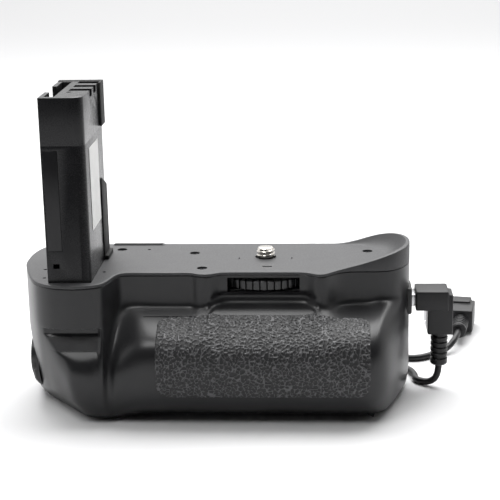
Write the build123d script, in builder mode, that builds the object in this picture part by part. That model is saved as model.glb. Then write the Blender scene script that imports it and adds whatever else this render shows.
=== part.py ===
from build123d import *
import os
from math import cos, pi, radians, sin, tan

# A vertical grip for a small camera: a sculpted housing with a battery-shaped tower that goes up into
# the camera, a camera screw turned by a thumbwheel, a two-cell tray, a shutter button and a link cord.
# Millimetres, +Z up. The origin is where the screw's axis meets the top plate. The front faces -Y.

os.makedirs("parts", exist_ok=True)

# housing
body_right = 48.8
body_left = -81.2
rear_y = 17.2
recess_y = -19.5
handle_y = -37.6
lobe_y = -34.6
base_z = -47.5
plate_t = 1.9
base_t = 2.2
wall_t = 2.0
seam_y = 6.0
horn_h = 5.6
horn_rim_t = 1.3
horn_root = 1.0
horn_start_x = 22.2
pad_t = 0.6
pad_x = (-35.0, 35.4)
pad_top_y = -24.6
pad_low_z = -37.2
rear_pad_x = -64.5
rear_pad_z = -24.0
rear_pad_w = 12.0
rear_pad_h = 26.0

# thumbwheel and camera screw
screw_r = 3.175
screw_stand = 3.5
neck_r = 2.95
screw_hole_r = 3.6
wheel_r = 18.6
wheel_t = 3.4
wheel_top_z = -3.2
wheel_ribs = 48
rib_depth = 0.9
run_gap = 0.3
shaft_gap = 0.05
slot_half_w = 12.0
bracket_t = 1.4
bracket_half_w = 22.0
clip_t = 0.8
clip_r = 5.5
clip_groove = 0.6

# cells and tray
cell_l = 53.0
cell_w = 38.0
cell_t = 14.0
bay_x = -10.0
tray_wall = 1.4
tray_floor = 1.0
shelf_t = 0.8
fit_gap = 0.1
liner_t = 1.2
door_t = 2.4
door_extra_x = 16.1
door_edge = 0.3
handle_room = 0.9
knob_r = 6.5
knob_shaft_r = 2.5
knob_sink = 1.2
cam_reach = 10.5
cam_t = 1.5
tray_contact_t = 0.3

# tower
tower_left = -69.4
tower_w = 14.0
tower_right = tower_left + tower_w
tower_front = -30.8
tower_l = 35.4
tower_rear = tower_front + tower_l
tower_h = 60.4
head_z = 45.0
tower_wall = 1.5
tower_foot = 8.0
corner_r = 3.0
contact_pitch = 8.0
contact_w = 4.2
contact_count = 3
first_contact_y = -14.2
contact_notch = 2.2
contact_depth = 5.0
flange_t = 2.3
flange_y = -3.0
fin_h = 28.0
fin_seat = 0.8
strip_h = 33.1
strip_z = 10.4
strip_w = 5.3
label_z = (15.3, 42.7)
label_y = (-22.4, -5.9)
label_t = 0.15

# shutter button on the left end
button_y = -9.0
button_z = -32.0
button_r = 4.6
button_travel = 1.0
collar_r = 7.6
collar_t = 2.4
dish_r = 11.0
dish_x = -77.6
board_x = -66.2
board_t = 1.6

# tripod socket in the base
socket_x = 31.0
socket_y = -4.0
socket_r = 3.2
socket_outer_r = 5.5
socket_h = 7.0

# link cord, its socket and its two plugs
jack_y = 0.0
jack_z = -14.6
jack_out = 49.9
plug_x = 59.7
neck_z = -26.9
relief_l = 11.8
relief_r = 2.95
relief_ribs = 5
cord_r = 1.15
second_plug = (72.75, 56.2, -42.2)
second_plug_turn = 10.0

# top screws
well_r = 1.75
well_depth = 1.5
shank_r = 0.9
screw_head_r = 1.55
wells = [(-51.0, 9.5), (-24.9, 4.7), (-20.7, -13.9), (35.0, 6.8)]
base_screw_places = [(-60.0, 10.0), (-60.0, -14.0), (39.5, 5.0), (26.0, -17.0)]
base_head_r = 2.2
base_shank_r = 1.1
base_boss_r = 2.6


def save(piece, name):
    piece.part.label = name
    export_step(piece.part, f"parts/{name}.step")


def block(x, y, z, mode=Mode.ADD):
    """A box between two values on each axis."""
    with Locations(((x[0] + x[1]) / 2, (y[0] + y[1]) / 2, (z[0] + z[1]) / 2)):
        Box(x[1] - x[0], y[1] - y[0], z[1] - z[0], mode=mode)


def post(x, y, r, z, mode=Mode.ADD):
    """An upright cylinder between two heights."""
    with Locations((x, y, (z[0] + z[1]) / 2)):
        Cylinder(r, z[1] - z[0], mode=mode)


# The housing's form is a run of upright cross sections. Each one has its X, its rear Y, its lowest Z and
# eight front points from the plate's edge down to the base: edge, wall foot, shelf, crest, front, low,
# under and base edge.
def grip_points(edge_y):
    return [
        (edge_y, 0), (edge_y, -11), (-26.5, -13), (handle_y + 2.0, -17.6),
        (handle_y, -25), (handle_y + 0.4, -36.5), (-31.5, -43.5), (-22.0, base_z),
    ]


stations = [
    (body_left, 5.0, -38.0,
     [(-7, 0), (-7, -14), (-7, -18), (-6.5, -24), (-5.5, -29), (-4, -33), (-2, -36), (0, -38)]),
    (-79.4, 12.4, -44.5,
     [(-14.5, 0), (-14.5, -15), (-14, -19), (-13, -26), (-11.5, -31), (-9.5, -36), (-6.5, -41), (-3, -44.5)]),
    (-76.4, 15.8, -47.0,
     [(-25.8, 0), (-25.8, -16), (-24.5, -20), (-22, -27), (-19.5, -32), (-16.5, -37), (-13, -43), (-9, -47)]),
    (-71.0, rear_y, base_z,
     [(-31.5, 0), (-31.3, -16), (-30.5, -20), (-28.5, -27), (-26.5, -32), (-24, -38), (-21, -44),
      (-17.5, base_z)]),
    (-64.0, rear_y, base_z,
     [(lobe_y, 0), (lobe_y + 0.2, -14.5), (-32.2, -17), (-35.2, -24.5), (-32.5, -30), (-31.5, -37),
      (-28.5, -44), (-23.5, base_z)]),
    (-57.0, rear_y, base_z,
     [(lobe_y + 0.3, 0), (lobe_y + 0.4, -14.5), (-32, -17), (-37.2, -25), (-35, -30.5), (-36, -38),
      (-34, -44), (-29.5, base_z)]),
    (-52.5, rear_y, base_z,
     [(-32.6, 0), (-32.6, -14), (-31.8, -17), (-36.5, -25), (-35.5, -31), (-36.5, -38), (-35, -44),
      (-31.2, base_z)]),
    (-50.0, rear_y, base_z,
     [(-27.5, 0), (-27.5, -12), (-29, -17), (-33.5, -22), (-35.3, -30), (-36, -38), (-34.5, -44),
      (-31.2, base_z)]),
    (-47.5, rear_y, base_z,
     [(-19.8, 0), (-19.8, -11), (-27, -15.5), (-34.5, -20), (-36.4, -28), (-36.6, -38), (-34, -44),
      (-30.5, base_z)]),
    (-43.0, rear_y, base_z,
     [(recess_y, 0), (recess_y, -11), (-26.5, -13.5), (-35.2, -18), (-37.4, -26), (-37.2, -36.5),
      (-33, -43.5), (-25, base_z)]),
    (-37.0, rear_y, base_z, grip_points(recess_y)),
    (-22.6, rear_y, base_z, grip_points(recess_y)),
    (-18.8, rear_y, base_z, grip_points(recess_y - 2.2)),
    (-15.4, rear_y, base_z, grip_points(recess_y + 0.6)),
    (15.2, rear_y, base_z, grip_points(recess_y + 0.6)),
    (19.1, rear_y, base_z, grip_points(recess_y - 2.4)),
    (horn_start_x, rear_y, base_z, grip_points(recess_y + 1.2)),
    (28.0, rear_y, base_z, grip_points(-15.0)),
    (35.4, rear_y, base_z, grip_points(-15.2)),
    (40.0, 15.6, base_z,
     [(-14.6, 0), (-14.8, -11), (-24, -13.8), (-32.5, -19), (-34.8, -26), (-34.2, -36), (-30, -43),
      (-23.8, base_z)]),
    (44.3, 12.8, base_z,
     [(-12.4, 0), (-12.8, -11), (-18, -15), (-23.5, -21), (-25.5, -28), (-24.5, -36), (-18.5, -43.5),
      (-8.5, base_z)]),
    (47.4, 8.6, base_z,
     [(-7.8, 0), (-8.4, -11), (-10, -15), (-12.5, -21), (-13.5, -28), (-12.5, -36), (-7.5, -43),
      (0, base_z)]),
    (body_right, 4.0, base_z + 2.5,
     [(-2.5, 0), (-2.5, -11), (-3, -15), (-4, -21), (-4, -28), (-3, -36), (-1, -42), (1, base_z + 2.5)]),
]


def housing_form():
    with BuildPart() as form:
        for x, rear, low, front in stations:
            with BuildSketch(Plane.YZ.offset(x)):
                with BuildLine():
                    Polyline((rear, 0), *front, (rear, low), close=True)
                make_face()
        loft(ruled=True)
    return form.part


# The horn's rim stands on the outline of the sections at its end of the plate, and rises to the right.
# Both its ramps start inside the plate and come up through its top face.
def horn_form():
    horn = [s for s in stations if s[0] >= horn_start_x]
    outline = [(s[0], s[3][0][0]) for s in horn] + [(s[0], s[1]) for s in reversed(horn)]
    with BuildPart() as rim:
        with BuildSketch(Plane.XY.offset(-horn_root)):
            with BuildLine():
                Polyline(*outline, close=True)
            make_face()
        extrude(amount=horn_h + horn_root)
        with BuildSketch(Plane.XZ.offset(-rear_y - 5)):
            with BuildLine():
                Spline((horn_start_x, -horn_root), (30.0, 1.1), (38.0, 3.7), (body_right, horn_h),
                       tangents=((1, 0.2), (1, 0.1)))
                Polyline((body_right, horn_h), (body_right + 5, horn_h), (body_right + 5, horn_h + 5),
                         (horn_start_x, horn_h + 5), (horn_start_x, -horn_root))
            make_face()
        extrude(amount=rear_y - lobe_y + 10, mode=Mode.SUBTRACT)
    with BuildPart() as dish:
        with BuildSketch(Plane.XY.offset(-horn_root - 1)):
            with BuildLine():
                Polyline(*outline, close=True)
            make_face()
            offset(amount=-horn_rim_t, kind=Kind.INTERSECTION)
        extrude(amount=horn_h + horn_root + 2)
        with BuildSketch(Plane.XZ.offset(-rear_y - 5)):
            with BuildLine():
                Spline((horn_start_x - 5, -horn_root), (34.0, 0.3), (42.0, 2.2), (body_right - 1, horn_h + 1),
                       tangents=((1, 0), (0.5, 1)))
                Polyline((body_right - 1, horn_h + 1), (horn_start_x - 5, horn_h + 1),
                         (horn_start_x - 5, -horn_root))
            make_face()
        extrude(amount=rear_y - lobe_y + 10, mode=Mode.INTERSECT)
    return rim.part - dish.part


form = housing_form()

# heights and places that several pieces share
floor_z = base_z + base_t
slot_low_z = wheel_top_z - wheel_t - run_gap
cell_y = (rear_y - door_t - 2 * fit_gap - cell_w, rear_y - door_t - 2 * fit_gap)
tray_z = floor_z + run_gap
lower_cell_z = tray_z + tray_floor + fit_gap
shelf_z = lower_cell_z + cell_t + fit_gap
upper_cell_z = shelf_z + shelf_t + fit_gap
tray_top_z = upper_cell_z + cell_t
tray_x = (bay_x - cell_l / 2 - 2 * fit_gap - tray_wall, bay_x + cell_l / 2 + 2 * fit_gap + tray_wall)
liner_in_x = (tray_x[0] - run_gap, tray_x[1] + run_gap)
liner_out_x = (liner_in_x[0] - liner_t, liner_in_x[1] + liner_t)
liner_low_z = tray_top_z + run_gap
liner_top_z = liner_low_z + 1.0
door_x = (liner_out_x[0] - door_extra_x, liner_out_x[1] + door_edge)
door_z = (floor_z + run_gap, liner_top_z - 1.0)
opening_x = (door_x[0] - run_gap, door_x[1] + run_gap)
opening_z = (floor_z, door_z[1] + run_gap)
knob_x = liner_out_x[0] - 1.6 - knob_r
knob_z = (door_z[0] + door_z[1]) / 2
bracket_z = (wheel_top_z - wheel_t - 0.6 - bracket_t, wheel_top_z - wheel_t - 0.6)
clip_z = (bracket_z[0] - run_gap - clip_t, bracket_z[0] - run_gap)
inner_rear_y = rear_y - wall_t


# The room inside the shells: a chamber behind the recess, the handle's hollow, the tower's foot and the
# ends where the button and the cord's socket sit.
with BuildPart() as hollow:
    block((-68.0, 36.0), (recess_y + 2.2, inner_rear_y), (floor_z, -13.6))
    block((-68.0, 19.0), (recess_y + 2.2, inner_rear_y), (-14.0, -plate_t))
    block((19.0, 36.0), (-13.0, inner_rear_y), (-14.0, -plate_t))
    block((36.0, 43.5), (-10.5, 9.5), (floor_z, -plate_t))
    block((tower_left - 0.6, -52.0), (tower_front - 0.4, inner_rear_y), (-13.0, -plate_t))
    with BuildSketch(Plane.YZ.offset(liner_out_x[0] - handle_room)):
        with BuildLine():
            Polyline((recess_y + 2.3, -12.4), (-24.8, -13.5), (-27.0, -15.8), (handle_y + 4.0, -20.2),
                     (handle_y + 2.2, -26.0), (handle_y + 2.6, -35.6), (-30.0, -41.6), (-26.0, -43.6),
                     (-25.2, floor_z), (recess_y + 2.3, floor_z), close=True)
        make_face()
    extrude(amount=pad_x[1] - liner_out_x[0] - handle_room)

with BuildPart() as tray_way:
    block(opening_x, (inner_rear_y - 1.0, rear_y + 5), opening_z)

tower_hole_x = (tower_left - fit_gap, tower_right + fit_gap)
tower_hole_y = (tower_front - fit_gap, tower_rear + fit_gap)


# Top cover: the plate, its horn, and a boss under each screw well.
with BuildPart() as top_cover:
    add(form)
    split(bisect_by=Plane.XY.offset(-plate_t), keep=Keep.TOP)
    add(horn_form())
    for x, y in wells:
        post(x, y, well_r + 0.85, (-plate_t - 3.0, -plate_t + 0.5))
    block(tower_hole_x, tower_hole_y, (-10, 5), mode=Mode.SUBTRACT)
    block((tower_right - 3.0 - fit_gap, tower_right + 1.8 + fit_gap),
          (tower_rear - 2.4 - fit_gap, tower_rear + flange_t + fit_gap), (-fin_seat, 5), mode=Mode.SUBTRACT)
    post(0, 0, screw_hole_r, (-10, 5), mode=Mode.SUBTRACT)
    for x, y in wells:
        post(x, y, well_r, (-well_depth, 5), mode=Mode.SUBTRACT)
        post(x, y, shank_r + fit_gap, (-10, 5), mode=Mode.SUBTRACT)
    for x, y in [(-41.4, 9.4), (-53.0, -18.4), (-73.4, -15.4), (-71.7, -25.3)]:
        post(x, y, 0.6, (-0.8, 5), mode=Mode.SUBTRACT)
    block((-0.6, 2.6), (-12.6, -11.6), (-0.8, 5), mode=Mode.SUBTRACT)
    for x in (-9.0, 9.0):
        block((x - 0.2, x + 0.2), (-3.2, -1.2), (-0.25, 5), mode=Mode.SUBTRACT)
    block((10.5, 34.5), (-4.85, -4.6), (-0.2, 5), mode=Mode.SUBTRACT)
save(top_cover, "top_cover")


# Front shell: everything before the seam, between the cover and the base.
collar_y = (-5.4, 5.4)
collar_z = (jack_z - 4.6, jack_z + 4.6)
jack_body_y = (-4.8, 4.8)
jack_body_z = (jack_z - 3.3, jack_z + 3.3)
button_bore_r = button_r + run_gap


def end_cylinder(r, x, mode=Mode.ADD):
    """A cylinder on the button's axis, between two X values."""
    with Locations(Location((x[0], button_y, button_z), (0, 90, 0))):
        Cylinder(r, x[1] - x[0], align=(Align.CENTER, Align.CENTER, Align.MIN), mode=mode)


with BuildPart() as front_shell:
    add(form)
    split(bisect_by=Plane.XY.offset(-plate_t), keep=Keep.BOTTOM)
    split(bisect_by=Plane.XY.offset(floor_z), keep=Keep.TOP)
    split(bisect_by=Plane.XZ.offset(-seam_y), keep=Keep.TOP)
    add(hollow.part, mode=Mode.SUBTRACT)
    block((-slot_half_w, slot_half_w), (-40, recess_y + 3), (slot_low_z, 0), mode=Mode.SUBTRACT)
    end_cylinder(dish_r, (body_left - 10, dish_x), mode=Mode.SUBTRACT)
    end_cylinder(button_bore_r, (dish_x - 1, -67.0), mode=Mode.SUBTRACT)
    block((40, 52), jack_body_y, jack_body_z, mode=Mode.SUBTRACT)
    block((jack_out - 2.3, 52), collar_y, collar_z, mode=Mode.SUBTRACT)
save(front_shell, "front_shell")


# Rear shell, open where the tray goes in and where the thumbwheel's back edge shows.
with BuildPart() as rear_shell:
    add(form)
    split(bisect_by=Plane.XY.offset(-plate_t), keep=Keep.BOTTOM)
    split(bisect_by=Plane.XY.offset(floor_z), keep=Keep.TOP)
    split(bisect_by=Plane.XZ.offset(-seam_y), keep=Keep.BOTTOM)
    add(hollow.part, mode=Mode.SUBTRACT)
    add(tray_way.part, mode=Mode.SUBTRACT)
    block((-slot_half_w, slot_half_w), (inner_rear_y - 1, rear_y + 5), (slot_low_z, 0), mode=Mode.SUBTRACT)
save(rear_shell, "rear_shell")


# Base cover, with the boss for the tripod socket and the four screw bosses.
with BuildPart() as base_cover:
    add(form)
    split(bisect_by=Plane.XY.offset(floor_z), keep=Keep.BOTTOM)
    post(socket_x, socket_y, socket_outer_r + 2, (floor_z, base_z + socket_h - 0.5))
    for x, y in base_screw_places:
        post(x, y, base_boss_r, (floor_z - 0.5, floor_z + 7))
    post(socket_x, socket_y, socket_outer_r, (base_z - 5, base_z + 30), mode=Mode.SUBTRACT)
    for x, y in base_screw_places:
        post(x, y, base_head_r + fit_gap, (base_z - 5, base_z + 1.3), mode=Mode.SUBTRACT)
        post(x, y, base_shank_r + fit_gap, (base_z - 5, base_z + 30), mode=Mode.SUBTRACT)
save(base_cover, "base_cover")


with BuildPart() as tripod_socket:
    post(socket_x, socket_y, socket_outer_r, (base_z, base_z + socket_h))
    post(socket_x, socket_y, socket_r, (base_z - 1, base_z + socket_h + 1), mode=Mode.SUBTRACT)
save(tripod_socket, "tripod_socket")


def screw(x, y, head_r, head_z, shank_r, end_z):
    """A headed screw: its head between two heights and its shank from the head to an end."""
    with BuildPart() as piece:
        post(x, y, head_r, head_z)
        seat = min(head_z, key=lambda z: abs(z - end_z))
        post(x, y, shank_r, (min(seat, end_z), max(seat, end_z)))
    return piece


for i, (x, y) in enumerate(wells):
    save(screw(x, y, screw_head_r, (-well_depth, -0.3), shank_r, -8.0), f"case_screw_{i + 1}")

for i, (x, y) in enumerate(base_screw_places):
    save(screw(x, y, base_head_r, (base_z + 0.3, base_z + 1.3), base_shank_r, floor_z + 6.5),
         f"base_screw_{i + 1}")


# Rubber pads: the front one follows the handle's section, the rear one is a thumb rest.
with BuildPart() as front_pad:
    with BuildSketch(Plane.YZ.offset(pad_x[0])):
        with BuildLine():
            Polyline(*grip_points(recess_y), (rear_y, base_z), (rear_y, 0), close=True)
        make_face()
        offset(amount=pad_t, kind=Kind.INTERSECTION)
        with BuildLine():
            Polyline(*grip_points(recess_y), (rear_y, base_z), (rear_y, 0), close=True)
        make_face(mode=Mode.SUBTRACT)
        with Locations(((pad_top_y + handle_y) / 2 - 10, (pad_low_z - 5) / 2)):
            Rectangle(pad_top_y - handle_y + 20, -5 - pad_low_z, mode=Mode.INTERSECT)
    extrude(amount=pad_x[1] - pad_x[0])
    add(form, mode=Mode.SUBTRACT)
save(front_pad, "front_pad")

with BuildPart() as rear_pad:
    with BuildSketch(Plane.XZ.offset(-rear_y)):
        with Locations((rear_pad_x, rear_pad_z)):
            RectangleRounded(rear_pad_w, rear_pad_h, 4.0)
    extrude(amount=-pad_t)
save(rear_pad, "rear_pad")


# Thumbwheel, camera screw and what holds them. The wheel turns with the screw, whose neck is thinner
# than its thread.
with BuildPart() as thumbwheel:
    post(0, 0, wheel_r, (wheel_top_z - wheel_t, wheel_top_z))
    post(0, 0, neck_r + shaft_gap, (wheel_top_z - 10, wheel_top_z + 1), mode=Mode.SUBTRACT)
    with Locations((0, 0, wheel_top_z - wheel_t / 2)):
        with PolarLocations(wheel_r, wheel_ribs, start_angle=180 / wheel_ribs):
            Box(2 * rib_depth, pi * wheel_r / wheel_ribs, wheel_t + 1, mode=Mode.SUBTRACT)
save(thumbwheel, "thumbwheel")

with BuildPart() as camera_screw:
    post(0, 0, screw_r, (0, screw_stand))
    chamfer(camera_screw.edges().sort_by(Axis.Z)[-1], 0.5)
    post(0, 0, neck_r, (clip_z[0] - 1.4, 0))
    post(0, 0, neck_r + 1, (clip_z[0], clip_z[1]), mode=Mode.SUBTRACT)
    post(0, 0, neck_r - clip_groove, (clip_z[0], clip_z[1]))
save(camera_screw, "camera_screw")

with BuildPart() as retaining_clip:
    post(0, 0, clip_r, (clip_z[0] + fit_gap, clip_z[1] - fit_gap))
    post(0, 0, neck_r - clip_groove + shaft_gap, (clip_z[0] - 1, clip_z[1] + 1), mode=Mode.SUBTRACT)
    block((0, clip_r + 1), (-1.6, 1.6), (clip_z[0] - 1, clip_z[1] + 1), mode=Mode.SUBTRACT)
save(retaining_clip, "retaining_clip")

# The bracket hangs from the plate on four legs, outside the wheel.
with BuildPart() as screw_bracket:
    block((-bracket_half_w, bracket_half_w), (-10.0, 12.0), bracket_z)
    for x in (-bracket_half_w + 1.4, bracket_half_w - 1.4):
        for y in (-8.6, 10.6):
            block((x - 1.4, x + 1.4), (y - 1.4, y + 1.4), (bracket_z[0], -plate_t))
    post(0, 0, neck_r + shaft_gap, (-20, 0), mode=Mode.SUBTRACT)
save(screw_bracket, "screw_bracket")


# Battery bay, tray, door and lock
with BuildPart() as bay_liner:
    block(liner_out_x, (cell_y[0] - 1.0, rear_y - door_t - run_gap), (floor_z, liner_top_z))
    block(liner_in_x, (cell_y[0] - 2.0, rear_y), (floor_z - 1, liner_low_z), mode=Mode.SUBTRACT)
save(bay_liner, "bay_liner")

tray_contact_x = tray_x[0] + tray_wall
contact_seats = [(y, low_z) for low_z in (lower_cell_z, upper_cell_z) for y in (-14.0, -9.0, -4.0)]
with BuildPart() as cell_tray:
    block(tray_x, (cell_y[0] - 1.2, rear_y - door_t), (tray_z, tray_top_z))
    inner = (tray_x[0] + tray_wall, tray_x[1] - tray_wall)
    block(inner, (cell_y[0] - 0.1, rear_y), (tray_z + tray_floor, shelf_z), mode=Mode.SUBTRACT)
    block(inner, (cell_y[0] - 0.1, rear_y), (shelf_z + shelf_t, tray_top_z + 1), mode=Mode.SUBTRACT)
    block(inner, (cell_y[0] - 5, cell_y[0]), (tray_z + 7, shelf_z), mode=Mode.SUBTRACT)
    block(inner, (cell_y[0] - 5, cell_y[0]), (shelf_z + 7, tray_top_z + 1), mode=Mode.SUBTRACT)
    for y, low_z in contact_seats:
        block((tray_contact_x - tray_contact_t, tray_contact_x), (y - 1, y + 1), (low_z + 3, low_z + 11),
              mode=Mode.SUBTRACT)
save(cell_tray, "cell_tray")


def cell(low_z):
    """A flat rechargeable cell pack with rounded long edges."""
    with BuildPart() as pack:
        block((bay_x - cell_l / 2, bay_x + cell_l / 2), cell_y, (low_z, low_z + cell_t))
        fillet(pack.edges().filter_by(Axis.X), 1.5)
    return pack


for name, low_z in [("lower_cell", lower_cell_z), ("upper_cell", upper_cell_z)]:
    save(cell(low_z), name)

for i, (y, low_z) in enumerate(contact_seats):
    with BuildPart() as tray_contact:
        block((tray_contact_x - tray_contact_t, tray_contact_x + fit_gap), (y - 1, y + 1), (low_z + 3, low_z + 11))
    save(tray_contact, f"tray_contact_{i + 1}")

with BuildPart() as tray_door:
    block(door_x, (rear_y - door_t, rear_y), door_z)
    with Locations(Location((knob_x, rear_y - door_t, knob_z), (-90, 0, 0))):
        Cylinder(knob_shaft_r + shaft_gap, 20, mode=Mode.SUBTRACT)
    with Locations(Location((knob_x, rear_y - knob_sink, knob_z), (-90, 0, 0))):
        Cylinder(knob_r + run_gap, 20, align=(Align.CENTER, Align.CENTER, Align.MIN), mode=Mode.SUBTRACT)
save(tray_door, "tray_door")

cam_y = (rear_y - door_t - run_gap - cam_t, rear_y - door_t - run_gap)
with BuildPart() as lock_knob:
    with Locations(Location((knob_x, rear_y - knob_sink, knob_z), (-90, 0, 0))):
        Cylinder(knob_r, knob_sink, align=(Align.CENTER, Align.CENTER, Align.MIN))
    with Locations(Location((knob_x, cam_y[0], knob_z), (-90, 0, 0))):
        Cylinder(knob_shaft_r, rear_y - knob_sink - cam_y[0],
                 align=(Align.CENTER, Align.CENTER, Align.MIN))
    block((knob_x - 1.3, knob_x + 1.3), (rear_y, rear_y + 1.8), (knob_z - knob_r + 0.6, knob_z + knob_r - 0.6))
save(lock_knob, "lock_knob")

# The cam points down at rest, clear of the door's way out, and turns behind the shell to lock.
with BuildPart() as lock_cam:
    block((knob_x - 3.6, knob_x + 3.6), cam_y, (knob_z - cam_reach, knob_z + 4.5))
    with Locations(Location((knob_x, cam_y[0], knob_z), (-90, 0, 0))):
        Cylinder(knob_shaft_r, 20, mode=Mode.SUBTRACT)
save(lock_cam, "lock_cam")


# Tower: a shell of the camera cell's size, a head with the contact slots, and the pieces on it.

def tower_block(inset, z):
    """The tower's section, with its large front right corner, drawn in by an inset."""
    with BuildPart() as piece:
        with BuildSketch(Plane.XY.offset(z[0])) as section:
            with Locations(((tower_left + tower_right) / 2, (tower_front + tower_rear) / 2)):
                Rectangle(tower_w - 2 * inset, tower_l - 2 * inset)
            right_front = section.vertices().group_by(Axis.X)[-1].sort_by(Axis.Y)[0]
            fillet(right_front, corner_r - inset)
        extrude(amount=z[1] - z[0])
    return piece.part


with BuildPart() as tower_shell:
    add(tower_block(0, (-tower_foot, head_z)))
    block((tower_left, tower_right + 1.5), (tower_front, tower_rear + 2.5), (-plate_t - 1.5, -plate_t))
    add(tower_block(tower_wall, (-tower_foot - 1, head_z + 1)), mode=Mode.SUBTRACT)
    block((tower_left + 0.4, tower_left + strip_w), (tower_front - 1, tower_front + 0.6),
          (strip_z, strip_z + strip_h), mode=Mode.SUBTRACT)
    block((tower_left + 2.0, tower_left + 4.1), (tower_front - 1, tower_front + tower_wall + 1),
          (4.7, 6.3), mode=Mode.SUBTRACT)
save(tower_shell, "tower_shell")

with BuildPart() as side_strip:
    block((tower_left + 0.5, tower_left + strip_w - fit_gap), (tower_front - 0.05, tower_front + 0.6),
          (strip_z + fit_gap, strip_z + strip_h - fit_gap))
save(side_strip, "side_strip")

with BuildPart() as label_plate:
    block((tower_right, tower_right + label_t), label_y, label_z)
save(label_plate, "label_plate")

tower_mid = (tower_left + tower_right) / 2
centre_wall = (tower_mid - 2.2, tower_mid + 0.2)
slot_ys = [first_contact_y + contact_pitch * i for i in range(contact_count)]
with BuildPart() as tower_head:
    add(tower_block(0, (head_z, tower_h)))
    add(tower_block(tower_wall + fit_gap, (head_z - 5, head_z + 1)))
    block((tower_left + tower_wall, centre_wall[0]), (tower_front + 2.5, tower_rear - 1.6),
          (tower_h - 10, tower_h + 1), mode=Mode.SUBTRACT)
    block((tower_left - 1, tower_left + tower_wall + 0.1), (-19.2, -6.6), (tower_h - 8, tower_h + 1),
          mode=Mode.SUBTRACT)
    for y in slot_ys:
        block((centre_wall[1], tower_right - 1.4), (y - contact_w / 2, y + contact_w / 2),
              (tower_h - contact_depth, tower_h + 1), mode=Mode.SUBTRACT)
        block((centre_wall[1], tower_right + 1), (y - contact_w / 2, y + contact_w / 2),
              (tower_h - contact_notch, tower_h + 1), mode=Mode.SUBTRACT)
    post(tower_mid + 0.9, -18.9, 0.9, (tower_h - 2, tower_h + 1), mode=Mode.SUBTRACT)
save(tower_head, "tower_head")

for i, y in enumerate(slot_ys):
    with BuildPart() as tower_contact:
        block((centre_wall[1] + 0.4, tower_right - 1.8), (y - 0.8, y + 0.8),
              (tower_h - contact_depth, tower_h - contact_depth + 1.0))
    save(tower_contact, f"tower_contact_{i + 1}")

with BuildPart() as upper_flange:
    block((tower_left - 0.3, tower_right + 0.9), (tower_rear, tower_rear + flange_t), (head_z, tower_h + 0.2))
    block((tower_right, tower_right + 0.9), (flange_y, tower_rear), (head_z, tower_h + 0.2))
save(upper_flange, "upper_flange")

with BuildPart() as lower_fin:
    block((tower_right - 3.0, tower_right + 0.5), (tower_rear, tower_rear + flange_t), (-fin_seat, fin_h))
    block((tower_right, tower_right + 0.5), (tower_rear - 2.4, tower_rear), (-fin_seat, fin_h))
    block((tower_right, tower_right + 1.8), (tower_rear - 2.0, tower_rear + flange_t), (-fin_seat, 2.5))
save(lower_fin, "lower_fin")


# Shutter button, its lock collar, the switch behind it and the board that carries the switch
stem_end_x = dish_x + 3.4
with BuildPart() as shutter_button:
    end_cylinder(button_r, (dish_x - collar_t + 0.2, dish_x + 1.2))
    end_cylinder(1.6, (dish_x + 1.2, stem_end_x))
    fillet(shutter_button.edges().filter_by(GeomType.CIRCLE).sort_by(Axis.X)[0], 0.8)
save(shutter_button, "shutter_button")

with BuildPart() as lock_collar:
    end_cylinder(collar_r, (dish_x - collar_t, dish_x - fit_gap))
    end_cylinder(button_r + run_gap, (dish_x - 10, dish_x + 1), mode=Mode.SUBTRACT)
    block((dish_x - collar_t, dish_x - 1.0), (button_y - 1.2, button_y + 1.2),
          (button_z + collar_r - 0.5, button_z + dish_r - 0.6))
save(lock_collar, "lock_collar")

with BuildPart() as shutter_switch:
    block((stem_end_x + button_travel + fit_gap, board_x - board_t), (button_y - 3, button_y + 3),
          (button_z - 3, button_z + 3))
save(shutter_switch, "shutter_switch")

with BuildPart() as circuit_board:
    block((board_x - board_t, board_x), (-14.0, 13.0), (floor_z, -14.0))
save(circuit_board, "circuit_board")


# Socket of the link cord, in the right end
nose_half = (3.9, 2.0)
with BuildPart() as link_socket:
    block((41.5, jack_out - 1.7), (jack_body_y[0] + fit_gap, jack_body_y[1] - fit_gap),
          (jack_body_z[0] + fit_gap, jack_body_z[1] - fit_gap))
    block((jack_out - 2.2, jack_out), (collar_y[0] + fit_gap, collar_y[1] - fit_gap),
          (collar_z[0] + fit_gap, collar_z[1] - fit_gap))
    fillet(link_socket.edges().group_by(Axis.X)[-1], 0.6)
    block((plug_x - 15.8, 60), (-nose_half[0] - fit_gap, nose_half[0] + fit_gap),
          (jack_z - nose_half[1] - fit_gap, jack_z + nose_half[1] + fit_gap), mode=Mode.SUBTRACT)
save(link_socket, "link_socket")

for i, y in enumerate((-2.7, -0.9, 0.9, 2.7)):
    with BuildPart() as socket_pin:
        block((39.5, 41.5), (y - 0.3, y + 0.3), (jack_z - 0.3, jack_z + 0.3))
    save(socket_pin, f"socket_pin_{i + 1}")


# A right-angled plug. Its own frame has its origin where the neck meets the strain relief, the relief
# along -Z and the nose along -X.
def plug_body(plane):
    with BuildPart(plane) as body:
        block((-8.5, 2.7), (-5.3, 5.3), (8.9, 15.7))
        block((-4.3, 4.3), (-4.3, 4.3), (0, 14.3))
    return body


def plug_nose(plane):
    with BuildPart(plane) as nose:
        block((-15.5, -8.5), (-nose_half[0], nose_half[0]), (12.3 - nose_half[1], 12.3 + nose_half[1]))
    return nose


def plug_relief(plane):
    """A boot with rings: waists cut between the ribs."""
    pitch = relief_l / (relief_ribs + 1)
    with BuildPart(plane) as relief:
        post(0, 0, relief_r, (-relief_l, 0))
        for i in range(relief_ribs):
            top = -pitch * (i + 0.5)
            with BuildPart(plane, mode=Mode.PRIVATE) as waist:
                post(0, 0, relief_r + 1, (top - pitch * 0.35, top))
                post(0, 0, relief_r - 0.6, (top - pitch, top + pitch), mode=Mode.SUBTRACT)
            add(waist.part, mode=Mode.SUBTRACT)
    return relief


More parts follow.
